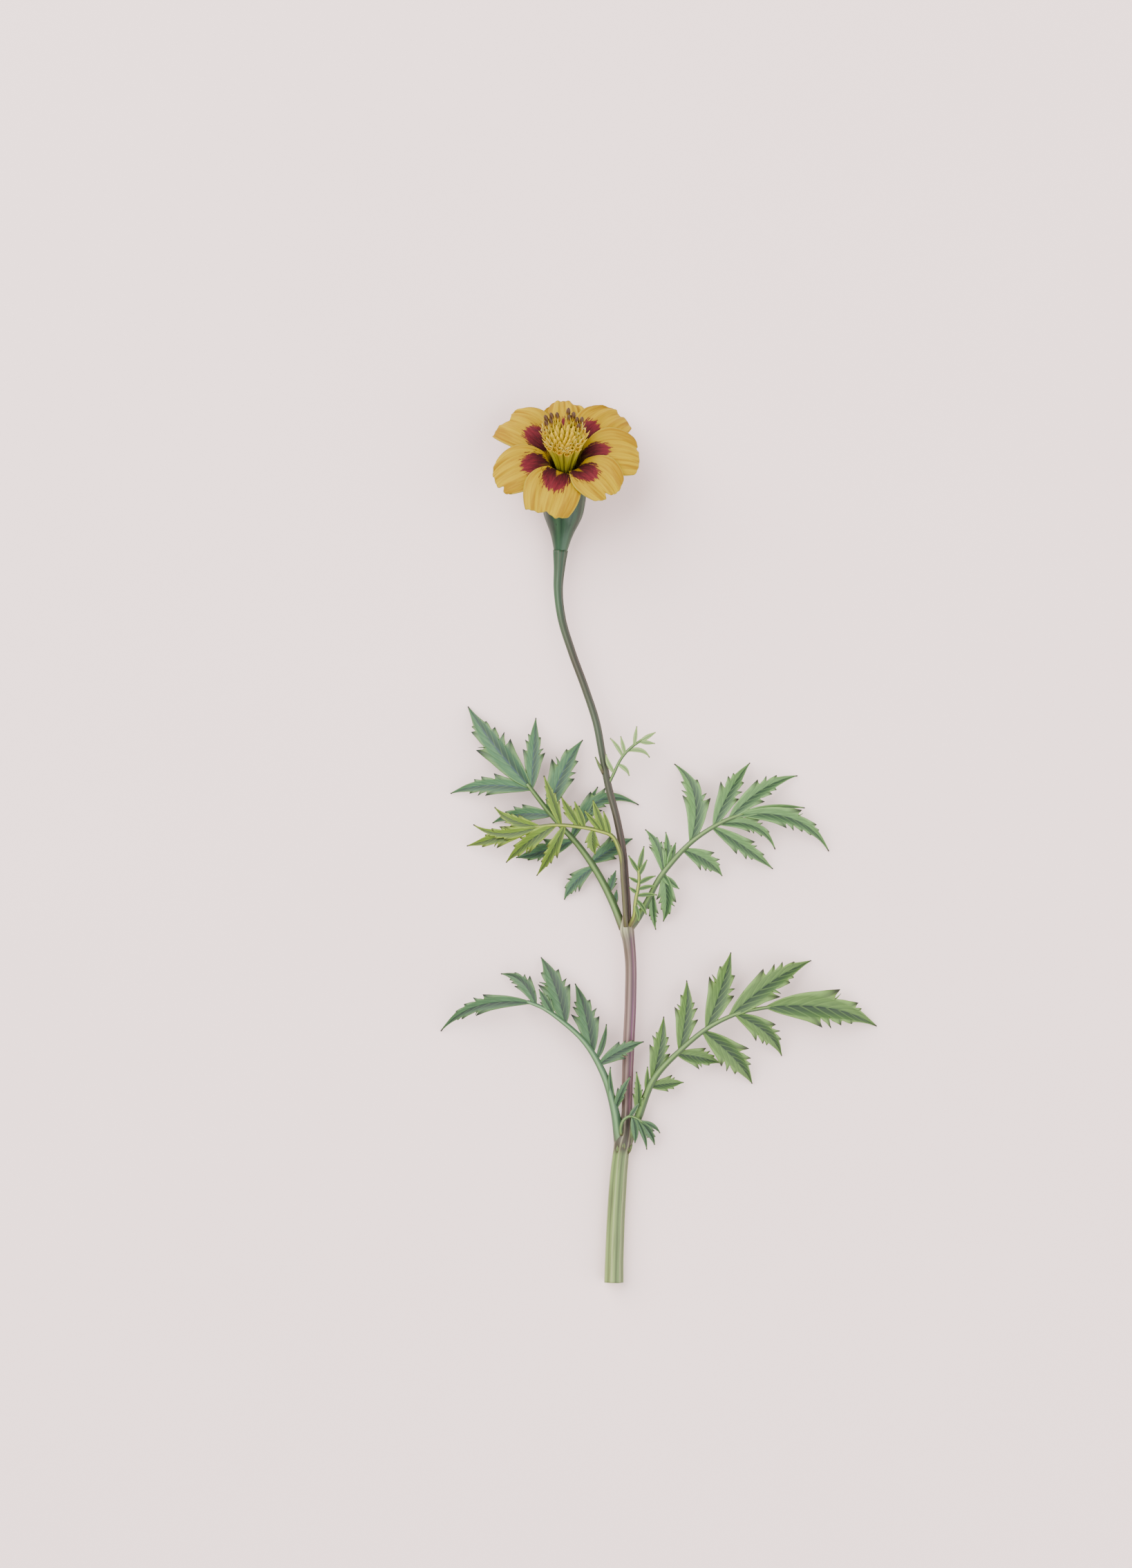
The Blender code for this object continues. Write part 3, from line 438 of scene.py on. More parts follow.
class Skin:
    """A material in the making: its methods add nodes and give back their output."""

    def __init__(self, name, roughness):
        """Start the material, with the shader's constants set on the shader itself."""
        self.material = bpy.data.materials.new(name)
        self.material.use_nodes = True
        self.tree = self.material.node_tree
        self.shader = self.tree.nodes["Principled BSDF"]
        self.shader.inputs["Roughness"].default_value = roughness
        self.shader.inputs["IOR"].default_value = SKIN_IOR
        self.shader.inputs["Metallic"].default_value = 0.0

    def node(self, kind, inputs=None, output=0, stops=(), **settings):
        """Any node, with its settings, its ramp's stops, and its inputs' values or links."""
        node = self.tree.nodes.new(kind)
        for setting, value in settings.items():
            setattr(node, setting, value)
        for socket, value in (inputs or {}).items():
            if isinstance(value, bpy.types.NodeSocket):
                self.tree.links.new(value, node.inputs[socket])
            else:
                node.inputs[socket].default_value = value
        for index, (place, hex_colour) in enumerate(stops):
            elements = node.color_ramp.elements
            element = elements[index] if index < 2 else elements.new(place)
            element.position = place
            element.color = linear(hex_colour)
        return node.outputs[output]

    def surface(self, name="UVMap"):
        """A map of the surface, and its two numbers: across or round it, and along it."""
        surface = self.node("ShaderNodeUVMap", uv_map=name)
        return surface, *self.parts(surface)[:2]

    def parts(self, vector):
        """The three numbers of a vector."""
        return list(self.node("ShaderNodeSeparateXYZ", {0: vector}).node.outputs)

    def spot(self):
        """Place on the object, in metres."""
        return self.node("ShaderNodeTexCoord", output="Object")

    def attribute(self, name):
        """A number stored on the mesh's points."""
        return self.node("ShaderNodeAttribute", output="Fac", attribute_name=name)

    def scaled(self, vector, across, along):
        """A map drawn out along one way and squeezed along the other."""
        factors = (across, along, 1.0)
        return self.node("ShaderNodeVectorMath", {0: vector, 1: factors}, operation="MULTIPLY")

    def noise(self, vector, scale, detail, **more):
        """Smooth noise."""
        inputs = {0: vector, "Scale": scale, "Detail": detail, **more}
        return self.node("ShaderNodeTexNoise", inputs)

    def maths(self, operation, *values):
        """A sum, product or other operation on numbers."""
        return self.node("ShaderNodeMath", dict(enumerate(values)), operation=operation)

    def ranged(self, value, start, end, at_end, at_start=0.0):
        """A number that changes evenly while value goes from start to end, and stays beyond."""
        return self.node("ShaderNodeMapRange", {0: value, 1: start, 2: end, 3: at_start, 4: at_end})

    def ramp(self, value, stops):
        """A colour ramp. The first two stops take its own two ends and the others are added."""
        return self.node("ShaderNodeValToRGB", {0: value}, stops=stops)

    def mixed(self, share, below, above):
        """One colour over another, as far as share says."""
        above = linear(above) if isinstance(above, str) else above
        return self.node("ShaderNodeMix", {0: share, 6: below, 7: above}, 2, data_type="RGBA")

    def finished(self, tone, relief=None, strength=0.0, depth=0.0):
        """The material, with this colour and this relief."""
        self.tree.links.new(tone, self.shader.inputs["Base Color"])
        if relief is not None:
            inputs = {"Strength": strength, "Distance": depth * MM, "Height": relief}
            self.tree.links.new(self.node("ShaderNodeBump", inputs), self.shader.inputs["Normal"])
        return self.material


def leaf_blade_material(name, lit, middle, shaded, rib, rim, tip):
    """Living leaf, waxy but not shiny: painted light and shade, one half painted as lit and the
    other painted in shade, with a dark line beside the midrib, forward-leaning side veins, a pale
    rim and dark tips."""
    skin = Skin(name, 0.52)
    _, across, along = skin.surface()
    out = skin.maths("MULTIPLY", skin.maths("ABSOLUTE", skin.maths("SUBTRACT", across, 0.5)), 2.0)
    # Side veins run forwards as they run outwards.
    phase = skin.maths("MULTIPLY_ADD", along, VEIN_PITCH, skin.maths("MULTIPLY", out, VEIN_LEAD))
    wave = skin.maths("SINE", skin.maths("MULTIPLY", phase, math.tau))
    vein = skin.ranged(wave, 0.55, 1.0, 1.0)
    strokes = skin.node("ShaderNodeCombineXYZ", {0: phase, 1: out, 2: 0.0})
    grain = skin.noise(strokes, 1.7, 3.0)
    # Painted light and shade across the blade: the half turned to TO_LIGHT is painted lit, the
    # other half painted in shade up to the rib.
    tone = skin.ramp(across, [
        (0.0, middle), (1.0, lit), (0.14, middle), (0.32, shaded), (0.44, shaded), (0.465, rib),
        (0.51, rib), (0.54, middle), (0.62, lit), (0.86, lit),
    ])
    tone = skin.mixed(skin.ranged(grain, 0.44, 0.66, 0.4), tone, shaded)
    tone = skin.mixed(skin.maths("MULTIPLY", vein, 0.22), tone, rim)
    tone = skin.mixed(skin.ranged(out, 0.82, 0.95, 0.7), tone, rim)
    tone = skin.mixed(skin.ranged(skin.attribute("tip"), 0.22, 0.8, 0.9), tone, tip)
    return skin.finished(tone, skin.maths("MULTIPLY_ADD", vein, -0.5, grain), 0.35, 0.2)


def petiole_material(name, top, side, streak, base, flush):
    """Leaf stalk: smooth green skin with a paler ridge, painted as a highlight, and darker streaks
    along it, flushed with brown as far as the given share of its length."""
    skin = Skin(name, 0.45)
    surface, around, along = skin.surface()
    fibres = skin.noise(skin.scaled(surface, 9.0, 2.0), 1.6, 3.0)
    # The paler band near the top is a painted highlight.
    tone = skin.ramp(around, [
        (0.0, side), (1.0, side), (0.18, streak), (0.27, top), (0.40, side), (0.55, side),
    ])
    tone = skin.mixed(skin.ranged(fibres, 0.5, 0.68, 0.5), tone, streak)
    tone = skin.mixed(skin.ranged(along, flush - FLUSH_FADE, flush, 0.0, 0.85), tone, base)
    return skin.finished(tone, fibres, 0.3, 0.15)


def stem_material():
    """Herb stem: ribbed skin, pale green below the lower node, brown-cream with a purple flush
    between the nodes, and grey-green turning blue-green on the flower's stalk. Its right side is
    darker with painted shade, its grooves are painted darker in shade and its rib crests carry
    painted highlights."""
    skin = Skin("stem_skin", 0.5)
    height = skin.ranged(skin.parts(skin.spot())[1], STEM_ENDS[0] * MM, STEM_ENDS[1] * MM, 1.0)
    surface, around, _ = skin.surface()
    left_side, right_side = (
        skin.ramp(height, [(row[0], row[side]) for row in STEM_TONES]) for side in (1, 2)
    )
    # The right side takes its own darker colours: painted shade, along with the purple flush of
    # that side.
    flush = skin.ramp(around, [
        (0.0, "#ffffff"), (1.0, "#ffffff"), (0.20, "#ffffff"), (0.27, "#000000"), (0.60, "#000000"),
    ])
    tone = skin.mixed(flush, left_side, right_side)
    # Fibres about 0.3 mm wide and 15 mm long, drawn a little coarser than they are.
    fibres = skin.noise(skin.scaled(surface, 26.0, 14.0), 1.0, 4.0)
    ribs = skin.maths("COSINE", skin.maths("MULTIPLY", around, math.tau * STEM_RIBS))
    # Painted shade darkens the grooves between the ribs.
    tone = skin.mixed(skin.ranged(ribs, -0.2, -1.0, 0.5), tone, "#2d351e")
    # Painted highlights run along the rib crests, fainter on the flower's stalk.
    fade = skin.ranged(height, 0.48, 0.56, 0.3, 1.0)
    painted_crest_highlight = skin.maths("MULTIPLY", skin.ranged(ribs, 0.6, 1.0, 0.35), fade)
    tone = skin.mixed(painted_crest_highlight, tone, skin.ramp(height, [(0.19, "#a7a577"), (0.23, "#a39380")]))
    tone = skin.mixed(skin.ranged(fibres, 0.5, 0.7, 0.5), tone, "#383327")
    return skin.finished(tone, fibres, 0.4, 0.3)


def pith_material():
    """Cut end of the stem: moist, pale, spongy pith."""
    skin = Skin("stem_pith", 0.6)
    cells = skin.noise(skin.spot(), 2200.0, 2.0)
    return skin.finished(skin.ramp(cells, [(0.3, "#aab581"), (0.7, "#d2d3b5")]))


def petal_material():
    """Velvety yellow petal: painted golden shade in its folds, fine lengthwise veins, a pale rim,
    and a maroon blotch near the claw whose outer edge is ragged along the veins."""
    skin = Skin("ray_petal", 0.7)
    # The cone-shaped cells of a petal's skin trap light: next to no gloss and a deep colour.
    skin.shader.inputs["Specular IOR Level"].default_value = 0.2
    surface, across, along = skin.surface()
    folds = skin.noise(skin.scaled(surface, 11.0, 1.6), 1.0, 3.0)
    tone = skin.ramp(along, [
        (0.0, "#8c7400"), (1.0, "#ac8d00"), (0.35, "#9a7e00"), (0.6, "#a18200"), (0.85, "#a88900"),
    ])
    # Painted shade: darker golden streaks along the petal stand for the shade in its folds; the
    # same noise gives the relief.
    tone = skin.mixed(skin.ranged(folds, 0.44, 0.64, 0.9), tone, "#896300")
    wave = skin.maths("SINE", skin.maths("MULTIPLY", across, math.tau * PETAL_VEINS))
    tone = skin.mixed(skin.ranged(wave, 0.6, 1.0, 0.28), tone, "#826000")
    tone = skin.mixed(skin.ranged(skin.attribute("edge"), 0.0, 1.0, 0.7), tone, "#a19028")
    # The blotch's own map: its centre at the origin and its edge about 1 away.
    mark, mark_across, mark_along = skin.surface("blotch")
    rags = skin.noise(skin.scaled(mark, 4.2, 0.9), 1.6, 4.0, Roughness=0.7)
    far = skin.node("ShaderNodeVectorMath", {0: mark}, "Value", operation="LENGTH")
    inside = skin.ranged(skin.maths("MULTIPLY_ADD", rags, 1.5, far), 1.80, 1.68, 1.0)
    # A yellow wedge points out from the claw into the blotch.
    slope = skin.maths("MULTIPLY_ADD", mark_along, 0.42, skin.maths("ABSOLUTE", mark_across))
    wedge = skin.ranged(skin.maths("MULTIPLY_ADD", rags, 0.25, slope), 0.16, 0.06, 1.0)
    cleared = skin.maths("MULTIPLY", wedge, skin.attribute("wedge"))
    mask = skin.maths("MULTIPLY", inside, skin.maths("SUBTRACT", 1.0, cleared))
    maroon = skin.ramp(skin.maths("MULTIPLY_ADD", mark_along, 0.28, rags), [
        (0.22, "#280a0e"), (0.78, "#661a23"), (0.40, "#360e13"), (0.56, "#4a1219"),
    ])
    relief = skin.maths("MULTIPLY_ADD", wave, 0.25, folds)
    return skin.finished(skin.mixed(mask, tone, maroon), relief, 0.35, 0.25)


def involucre_material():
    """Cup of joined bracts: smooth dark blue-green skin with paler streaks, a painted highlight
    down one bract on the lit side, dark oil glands about 0.4 mm wide, and brown teeth."""
    skin = Skin("involucre_skin", 0.42)
    surface, around, along = skin.surface()
    streaks = skin.noise(skin.scaled(surface, 22.0, 1.8), 1.0, 3.0)
    tone = skin.ramp(streaks, [(0.3, "#0d2414"), (0.7, "#29472f"), (0.48, "#193320")])
    # A painted highlight: a pale band down one bract, on the side facing the light.
    painted_highlight_band = skin.ramp(around, [
        (0.0, "#000000"), (1.0, "#000000"), (0.655, "#000000"), (0.70, "#e5f6f1"),
        (0.735, "#000000"),
    ])
    tone = skin.mixed(skin.maths("MULTIPLY", painted_highlight_band, 0.55), tone, "#466847")
    dots = {0: skin.scaled(surface, 40.0, 13.0), "Scale": 1.0, "Randomness": 0.7}
    cells = skin.node("ShaderNodeTexVoronoi", dots, "Distance")
    tone = skin.mixed(skin.ranged(cells, 0.20, 0.12, 0.6), tone, "#081a10")
    tone = skin.mixed(skin.ranged(along, 0.82, 0.90, 0.7), tone, "#44462c")
    # The skin of the stalk runs on over the foot of the cup.
    tone = skin.mixed(skin.ranged(along, 0.22, 0.02, 0.9), tone, "#2c4a32")
    return skin.finished(tone, streaks, 0.3, 0.3)


def tube_flower_material(name, stops):
    """Disc floret part: coloured along its length, with faint lengthwise streaks."""
    skin = Skin(name, 0.5)
    surface, _, along = skin.surface()
    streaks = skin.noise(skin.scaled(surface, 9.0, 2.0), 1.3, 2.0)
    shifted = skin.maths("MULTIPLY_ADD", streaks, 0.3, along)
    tone = skin.ramp(skin.maths("SUBTRACT", shifted, 0.15), stops)
    return skin.finished(tone, streaks, 0.3, 0.1)


def smooth(points, count):
    """Points evenly spaced on a smooth curve through rows of x, y, z and radius."""
    rows = np.array(points, float)
    steps = np.linalg.norm(np.diff(rows[:, :3], axis=0), axis=1)
    places = np.concatenate([[0.0], np.cumsum(steps)])
    slopes = np.gradient(rows, places, axis=0)
    wanted = np.linspace(0.0, places[-1], count)
    k = np.clip(np.searchsorted(places, wanted) - 1, 0, len(steps) - 1)
    span = steps[k][:, None]
    t = ((wanted - places[k]) / steps[k])[:, None]
    near = (2 * t**3 - 3 * t**2 + 1) * rows[k] + (t**3 - 2 * t**2 + t) * span * slopes[k]
    far = (3 * t**2 - 2 * t**3) * rows[k + 1] + (t**3 - t**2) * span * slopes[k + 1]
    return near + far


def curve(start, bend, end, t):
    """Point and direction at t on a curve from start to end that is drawn towards bend."""
    point = start * (1 - t) ** 2 + bend * 2 * t * (1 - t) + end * t**2
    return point, ((bend - start) * (1 - t) + (end - bend) * t).normalized()


def polar(radius, angle, height=0.0):
    """A point at this distance and angle round the Z axis."""
    return Vector((radius * math.cos(angle), radius * math.sin(angle), height))


def only(piece):
    """Select this piece alone and make it active."""
    bpy.ops.object.select_all(action="DESELECT")
    piece.select_set(True)
    bpy.context.view_layer.objects.active = piece


def thicken(piece, wall):
    """Give a sheet its wall, half to each side, and smooth shading."""
    only(piece)
    modifier = piece.modifiers.new("Solidify", "SOLIDIFY")
    modifier.thickness = wall * MM
    modifier.offset = 0.0
    bpy.ops.object.modifier_apply(modifier=modifier.name)
    bpy.ops.object.shade_smooth()


def sheet_of(columns, rows, place, along=None):
    """A grid primitive whose points go to place(u, row), u from -1 to 1, in millimetres."""
    bpy.ops.object.select_all(action="DESELECT")
    bpy.ops.mesh.primitive_grid_add(x_subdivisions=columns, y_subdivisions=rows, size=2.0)
    piece = bpy.context.active_object
    mesh = piece.data
    for vert in mesh.vertices:
        row, column = divmod(vert.index, columns + 1)
        vert.co = place(2.0 * column / columns - 1.0, row) * MM
    if along is not None:
        uvs = mesh.uv_layers[0].data
        for loop in mesh.loops:
            uvs[loop.index].uv.y = along[loop.vertex_index // (columns + 1)]
    return piece


def round_form(columns, rows, place):
    """A sheet rolled up by place(angle, row), with its seam merged, its ends capped and its
    faces turned outwards."""
    piece = sheet_of(columns, rows - 1, lambda u, row: place(math.pi * (u + 1.0), row))
    only(piece)
    bpy.ops.object.mode_set(mode="EDIT")
    bpy.ops.mesh.select_all(action="SELECT")
    bpy.ops.mesh.remove_doubles(threshold=0.000001)
    bpy.ops.mesh.fill_holes(sides=0)
    bpy.ops.mesh.select_all(action="SELECT")
    bpy.ops.mesh.normals_make_consistent(inside=False)
    bpy.ops.object.mode_set(mode="OBJECT")
    bpy.ops.object.shade_smooth()
    return piece


def rolled(columns, path, bulge=None):
    """A round rod along rows of x, y, z and radius; bulge(angle, row) scales its radius. Its
    map's first number goes round from the image's right over the top."""
    middle = [Vector(row[:3]) for row in path]
    ahead = [
        (middle[min(k + 1, len(path) - 1)] - middle[max(k - 1, 0)]).normalized()
        for k in range(len(path))
    ]

    def place(angle, row):
        side = ahead[row].cross(UP).normalized()
        top = side.cross(ahead[row])
        size = path[row][3] * (bulge(angle, row) if bulge else 1.0)
        return middle[row] + (side * math.cos(angle) + top * math.sin(angle)) * size

    return round_form(columns, len(path), place)


def joined(name, pieces):
    """Join pieces into one named object."""
    bpy.ops.object.select_all(action="DESELECT")
    for piece in pieces:
        piece.select_set(True)
    bpy.context.view_layer.objects.active = pieces[0]
    if len(pieces) > 1:
        bpy.ops.object.join()
    whole = bpy.context.active_object
    whole.name = name
    whole.data.name = name
    return whole


def finish_piece(piece, nodes):
    """The piece stands for the named solids, which it hides, and rides with them."""
    for node in nodes:
        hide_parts(node)
    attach(piece, "root")


def bell(t):
    """Share of the greatest width at t along a lanceolate leaflet."""
    return math.sin(math.pi * t**0.6) if 0.0 < t < 1.0 else 0.0


def tooth_keys(length, width, side, index):
    """One edge of a leaflet: places along it, each with its share of the envelope's width, how
    far it is drawn forwards in millimetres, and whether it is a tooth's tip."""
    if width < TOOTHED_WIDTH:
        return [(0.0, 1.0, 0.0, 0.0), (1.0, 1.0, 0.0, 0.0)]
    table = TEETH[sum(length > limit for limit in LONGER_LEAFLETS)]
    keys = [(0.0, 0.70, 0.0, 0.0), (0.10, 0.80, 0.0, 0.0)]
    before = 0.12
    for order, (place, size) in enumerate(table):
        chance = math.sin(2.3 * index + 1.7 * side + 3.1 * order)
        place += SIDE_SHIFT * side + 0.018 * chance
        size *= 1.0 + 0.22 * math.sin(1.3 * index + 2.9 * side + 1.9 * order)
        gap = place - before
        pull = TOOTH_PULL * gap * length * size
        keys += [
            (before + 0.30 * gap, 0.90, 0.0, 0.0),
            (before + 0.65 * gap, 1.03, 0.2 * pull, 0.0),
            (place, 1.0 + TOOTH_REACH * size, pull, 1.0),
            (place + 0.08 * gap + 0.004, 0.98, 0.5 * pull, 0.2),
            (place + NOTCH_PLACE * gap, 1.0 - NOTCH_DEPTH * size, 0.0, 0.0),
        ]
        before = place + NOTCH_PLACE * gap
    keys += [(0.3 + 0.7 * before, 0.84, 0.0, 0.0), (0.9, 0.78, 0.0, 0.0), (1.0, 1.0, 0.0, 0.0)]
    return keys


def leaflet(root, tip, width, bow, arch, index):
    """One blade from root to tip, bowed to its left and arched upwards, its rim lifted."""
    along = tip - root
    across = UP.cross(along).normalized()
    middle = root.lerp(tip, BEND_PLACE) + 2.0 * (across * bow + UP * arch)
    edges = [tooth_keys(along.length, width, side, index) for side in (0, 1)]
    if width < TOOTHED_WIDTH:
        columns, places = PLAIN_COLUMNS, [k / PLAIN_ROWS for k in range(PLAIN_ROWS + 1)]
    else:
        columns = BLADE_COLUMNS
        places = {0.02, 0.05, 0.09, 0.14, 0.19, 0.24, 0.80, 0.85, 0.90, 0.94, 0.97, 0.99}
        places = sorted(places | {key[0] for edge in edges for key in edge})
    tables = [np.array(edge).T for edge in edges]

    def edge_at(u, row, item):
        return float(np.interp(places[row], tables[u > 0.0][0], tables[u > 0.0][item]))

    def place(u, row):
        t = places[row]
        on_rib, ahead = curve(root, middle, tip, t)
        side = UP.cross(ahead).normalized()
        normal = ahead.cross(side)
        envelope = NARROWING * width / 2.0 * bell(t)
        least = (LEAFLET_ROOT if t < 0.5 else LEAFLET_TIP) / 2.0
        half = max(envelope * edge_at(u, row, 1), least)
        inner = max(envelope * INNER_SHARE, least * INNER_PART)
        outwards = abs(u)
        tooth = max(0.0, (outwards - INNER_PART) / (1.0 - INNER_PART))
        reach = inner * min(1.0, outwards / INNER_PART) + (half - inner) * tooth
        swept = SWEEP * (1.0 + SWEEP_SKEW * u) * reach * outwards * (0.0 < t < 1.0)
        swept += edge_at(u, row, 2) * tooth
        ripple = RIPPLE * width / 8.0 * math.sin(math.tau * (3.3 * t + 0.37 * index)) * outwards**2
        lift = FOLD * reach * outwards + ripple * math.sin(math.pi * t) + RIM_LIFT * outwards**0.5
        return on_rib + side * math.copysign(reach, u) + ahead * swept + normal * lift

    piece = sheet_of(columns, len(places) - 1, place, places)
    mesh = piece.data
    marks = mesh.attributes.new("tip", "FLOAT", "POINT")
    for vert in mesh.vertices:
        row, column = divmod(vert.index, columns + 1)
        u = 2.0 * column / columns - 1.0
        mark = edge_at(u, row, 3) * (1.0 if abs(u) > 0.99 else 0.35 * (abs(u) > 0.8))
        marks.data[vert.index].value = max(mark, (places[row] - 0.92) / 0.08)
    # Turn the map so that the half painted as lit lies towards TO_LIGHT.
    if across.dot(TO_LIGHT) <= 0.0:
        for entry in mesh.uv_layers[0].data:
            entry.uv.x = 1.0 - entry.uv.x
    thicken(piece, BLADE)
    return piece


def frond(name, leaf, blade_material, stalk_material):
    """A leaf: its grooved rachis and its leaflets, one piece."""
    rachis, leaflets = leaf
    length = sum(math.dist(a[:3], b[:3]) for a, b in zip(rachis, rachis[1:]))
    coarse = smooth(rachis, max(6, round(length / 4.5)))
    path = smooth(rachis, max(16, round(length / 1.2)))

    def groove(angle, row):
        return 1.0 - STALK_GROOVE * max(0.0, math.sin(angle)) ** 8

    stalk = rolled(STALK_SIDES, path, groove)
    stalk.data.materials.append(stalk_material)
    ends = np.linspace(0.0, 1.0, len(coarse))
    blades = []
    for index, (place, x, y, z, width, bow, arch) in enumerate(leaflets):
        root = Vector([np.interp(place, ends, coarse[:, axis]) for axis in range(3)])
        blade = leaflet(root, Vector((x, y, z)), width, bow, arch, index)
        blade.data.materials.append(blade_material)
        blades.append(blade)
    finish_piece(joined(name, [stalk] + blades), [name.removesuffix("_piece")])


def build_stem():
    """The ribbed stem with its swollen nodes, its cut end of pith, and its scales."""
    path = smooth(STEM, STEM_POINTS)

    def bulge(angle, row):
        y = path[row][1]
        node = sum(math.exp(-(((y - centre) / reach) ** 2)) for centre, reach in STEM_NODES)
        wander = 0.4 * math.sin(0.045 * y)
        return 1.0 + RIB_DEPTH * math.cos(STEM_RIBS * angle + wander) * (1.0 - 0.6 * node)

    stem = rolled(STEM_SIDES, path, bulge)
    for vert in stem.data.vertices:
        vert.co.z = max(vert.co.z, 0.0)
    stem.data.materials.append(stem_material())
    stem.data.materials.append(pith_material())
    for face in stem.data.polygons:
        if len(face.vertices) > 4:
            face.material_index = 1 if face.center.y < 0.0 else 0
            face.use_smooth = False
    scale_skin = petiole_material("node_scale", "#708d45", "#516d36", "#5e3d36", "#4c4030", 0.3)
    scales = []
    for index, (at, azimuth, length, width, lean) in enumerate(NODE_SCALES):
        row = int(np.argmin(np.abs(path[:, 1] - at)))
        angle = math.radians(azimuth)
        out = Vector((math.cos(angle), 0.0, math.sin(angle)))
        root = Vector(path[row][:3]) + out * path[row][3] * 0.8
        tip = root + Vector((0.0, length, 0.0)) + out * (length * lean)
        scale = leaflet(root, tip, width, 0.0, 0.3, index)
        scale.data.materials.append(scale_skin)
        scales.append(scale)
    finish_piece(joined("stem_piece", [stem] + scales), ["stem"])


def cup_axis(t):
    """Point and direction at t on the cup's curved middle line."""
    return curve(*(Vector(point) for point in CUP_AXIS), t)


def head_matrix(t=1.0):
    """Frame of the flower head: X to the right, Y to its back and Z along its axis."""
    point, axis = cup_axis(t)
    right = (Vector((1.0, 0.0, 0.0)) - axis * axis.x).normalized()
    back = axis.cross(right)
    return Matrix.Translation(point) @ Matrix((right, back, axis)).transposed().to_4x4()


HEAD = head_matrix()


def build_cup():
    """The involucre: joined bracts that swell between their seams, with a toothed rim."""
    chords = [cup_axis(k / CUP_AXIS_STEPS)[0] for k in range(CUP_AXIS_STEPS + 1)]
    length = sum((b - a).length for a, b in zip(chords, chords[1:]))
    inner = CUP_PROFILE[-1][1] - CUP_WALL
    shares, radii = zip(*CUP_PROFILE)
    outside = []
    for k in range(CUP_ROWS + 1):
        share = k / CUP_ROWS
        outside.append((float(np.interp(share, shares, radii)), share * length, True))
    for _ in range(3):
        softened = [
            ((a[0] + 2 * b[0] + c[0]) / 4, b[1], True)
            for a, b, c in zip(outside, outside[1:], outside[2:])
        ]
        outside = [outside[0]] + softened + [outside[-1]]
    floor = length - CUP_HOLLOW
    rows = [(0.01, 0.0, True)] + outside + [(inner, length, True)]
    rows += [(radius, floor, False) for radius in (inner, inner / 2, 0.01)]
    pitch = 2 * math.pi / CUP_TEETH

    def place(angle, row):
        radius, height, outer = rows[row]
        phase = (angle % pitch) / pitch
        if outer and 0.01 < radius:
            swell = BRACT_SWELL * (abs(math.cos(math.pi * phase)) - 0.6)
            radius += swell * min(1.0, height / 6.0) * (radius > inner + 0.01)
        if height > length - 0.01:
            tooth = max(0.0, 1.0 - 3.0 * min(phase, 1.0 - phase)) ** 0.8
            height += TOOTH_HEIGHT * tooth
            radius += TOOTH_FLARE * tooth
        local = polar(radius, angle)
        if height > floor - 0.01:
            return HEAD @ (local + UP * (height - length))
        return head_matrix(height / length) @ local

    cup = round_form(CUP_SIDES, len(rows), place)
    cup.data.materials.append(involucre_material())
    finish_piece(joined("involucre_piece", [cup]), ["involucre"])


def petal_profile(azimuth):
    """Radius and height on the flared surface at an azimuth, from the foot of the claws."""
    back = math.sin(azimuth)
    slope = SLOPE_AT_CLAW[0] + SLOPE_AT_CLAW[1] * back
    end_slope = SLOPE_AT_END[0] + SLOPE_AT_END[1] * back
    lengths = np.arange(0.0, CLAW_HEIGHT + SURFACE_REACH, PROFILE_STEP)
    f = np.maximum(0.0, (lengths - CLAW_HEIGHT) / LIMB_LENGTH)
    angle = slope + (end_slope - slope) * f
    angle = np.radians(np.where(f < CLAW_BEND, 90.0 + (angle - 90.0) * f / CLAW_BEND, angle))
    radii = COLLAR_RADIUS + np.concatenate([[0.0], np.cumsum(PROFILE_STEP * np.cos(angle))[:-1]])
    heights = CLAW_BOTTOM + np.concatenate([[0.0], np.cumsum(PROFILE_STEP * np.sin(angle))[:-1]])
    return lengths, radii, heights


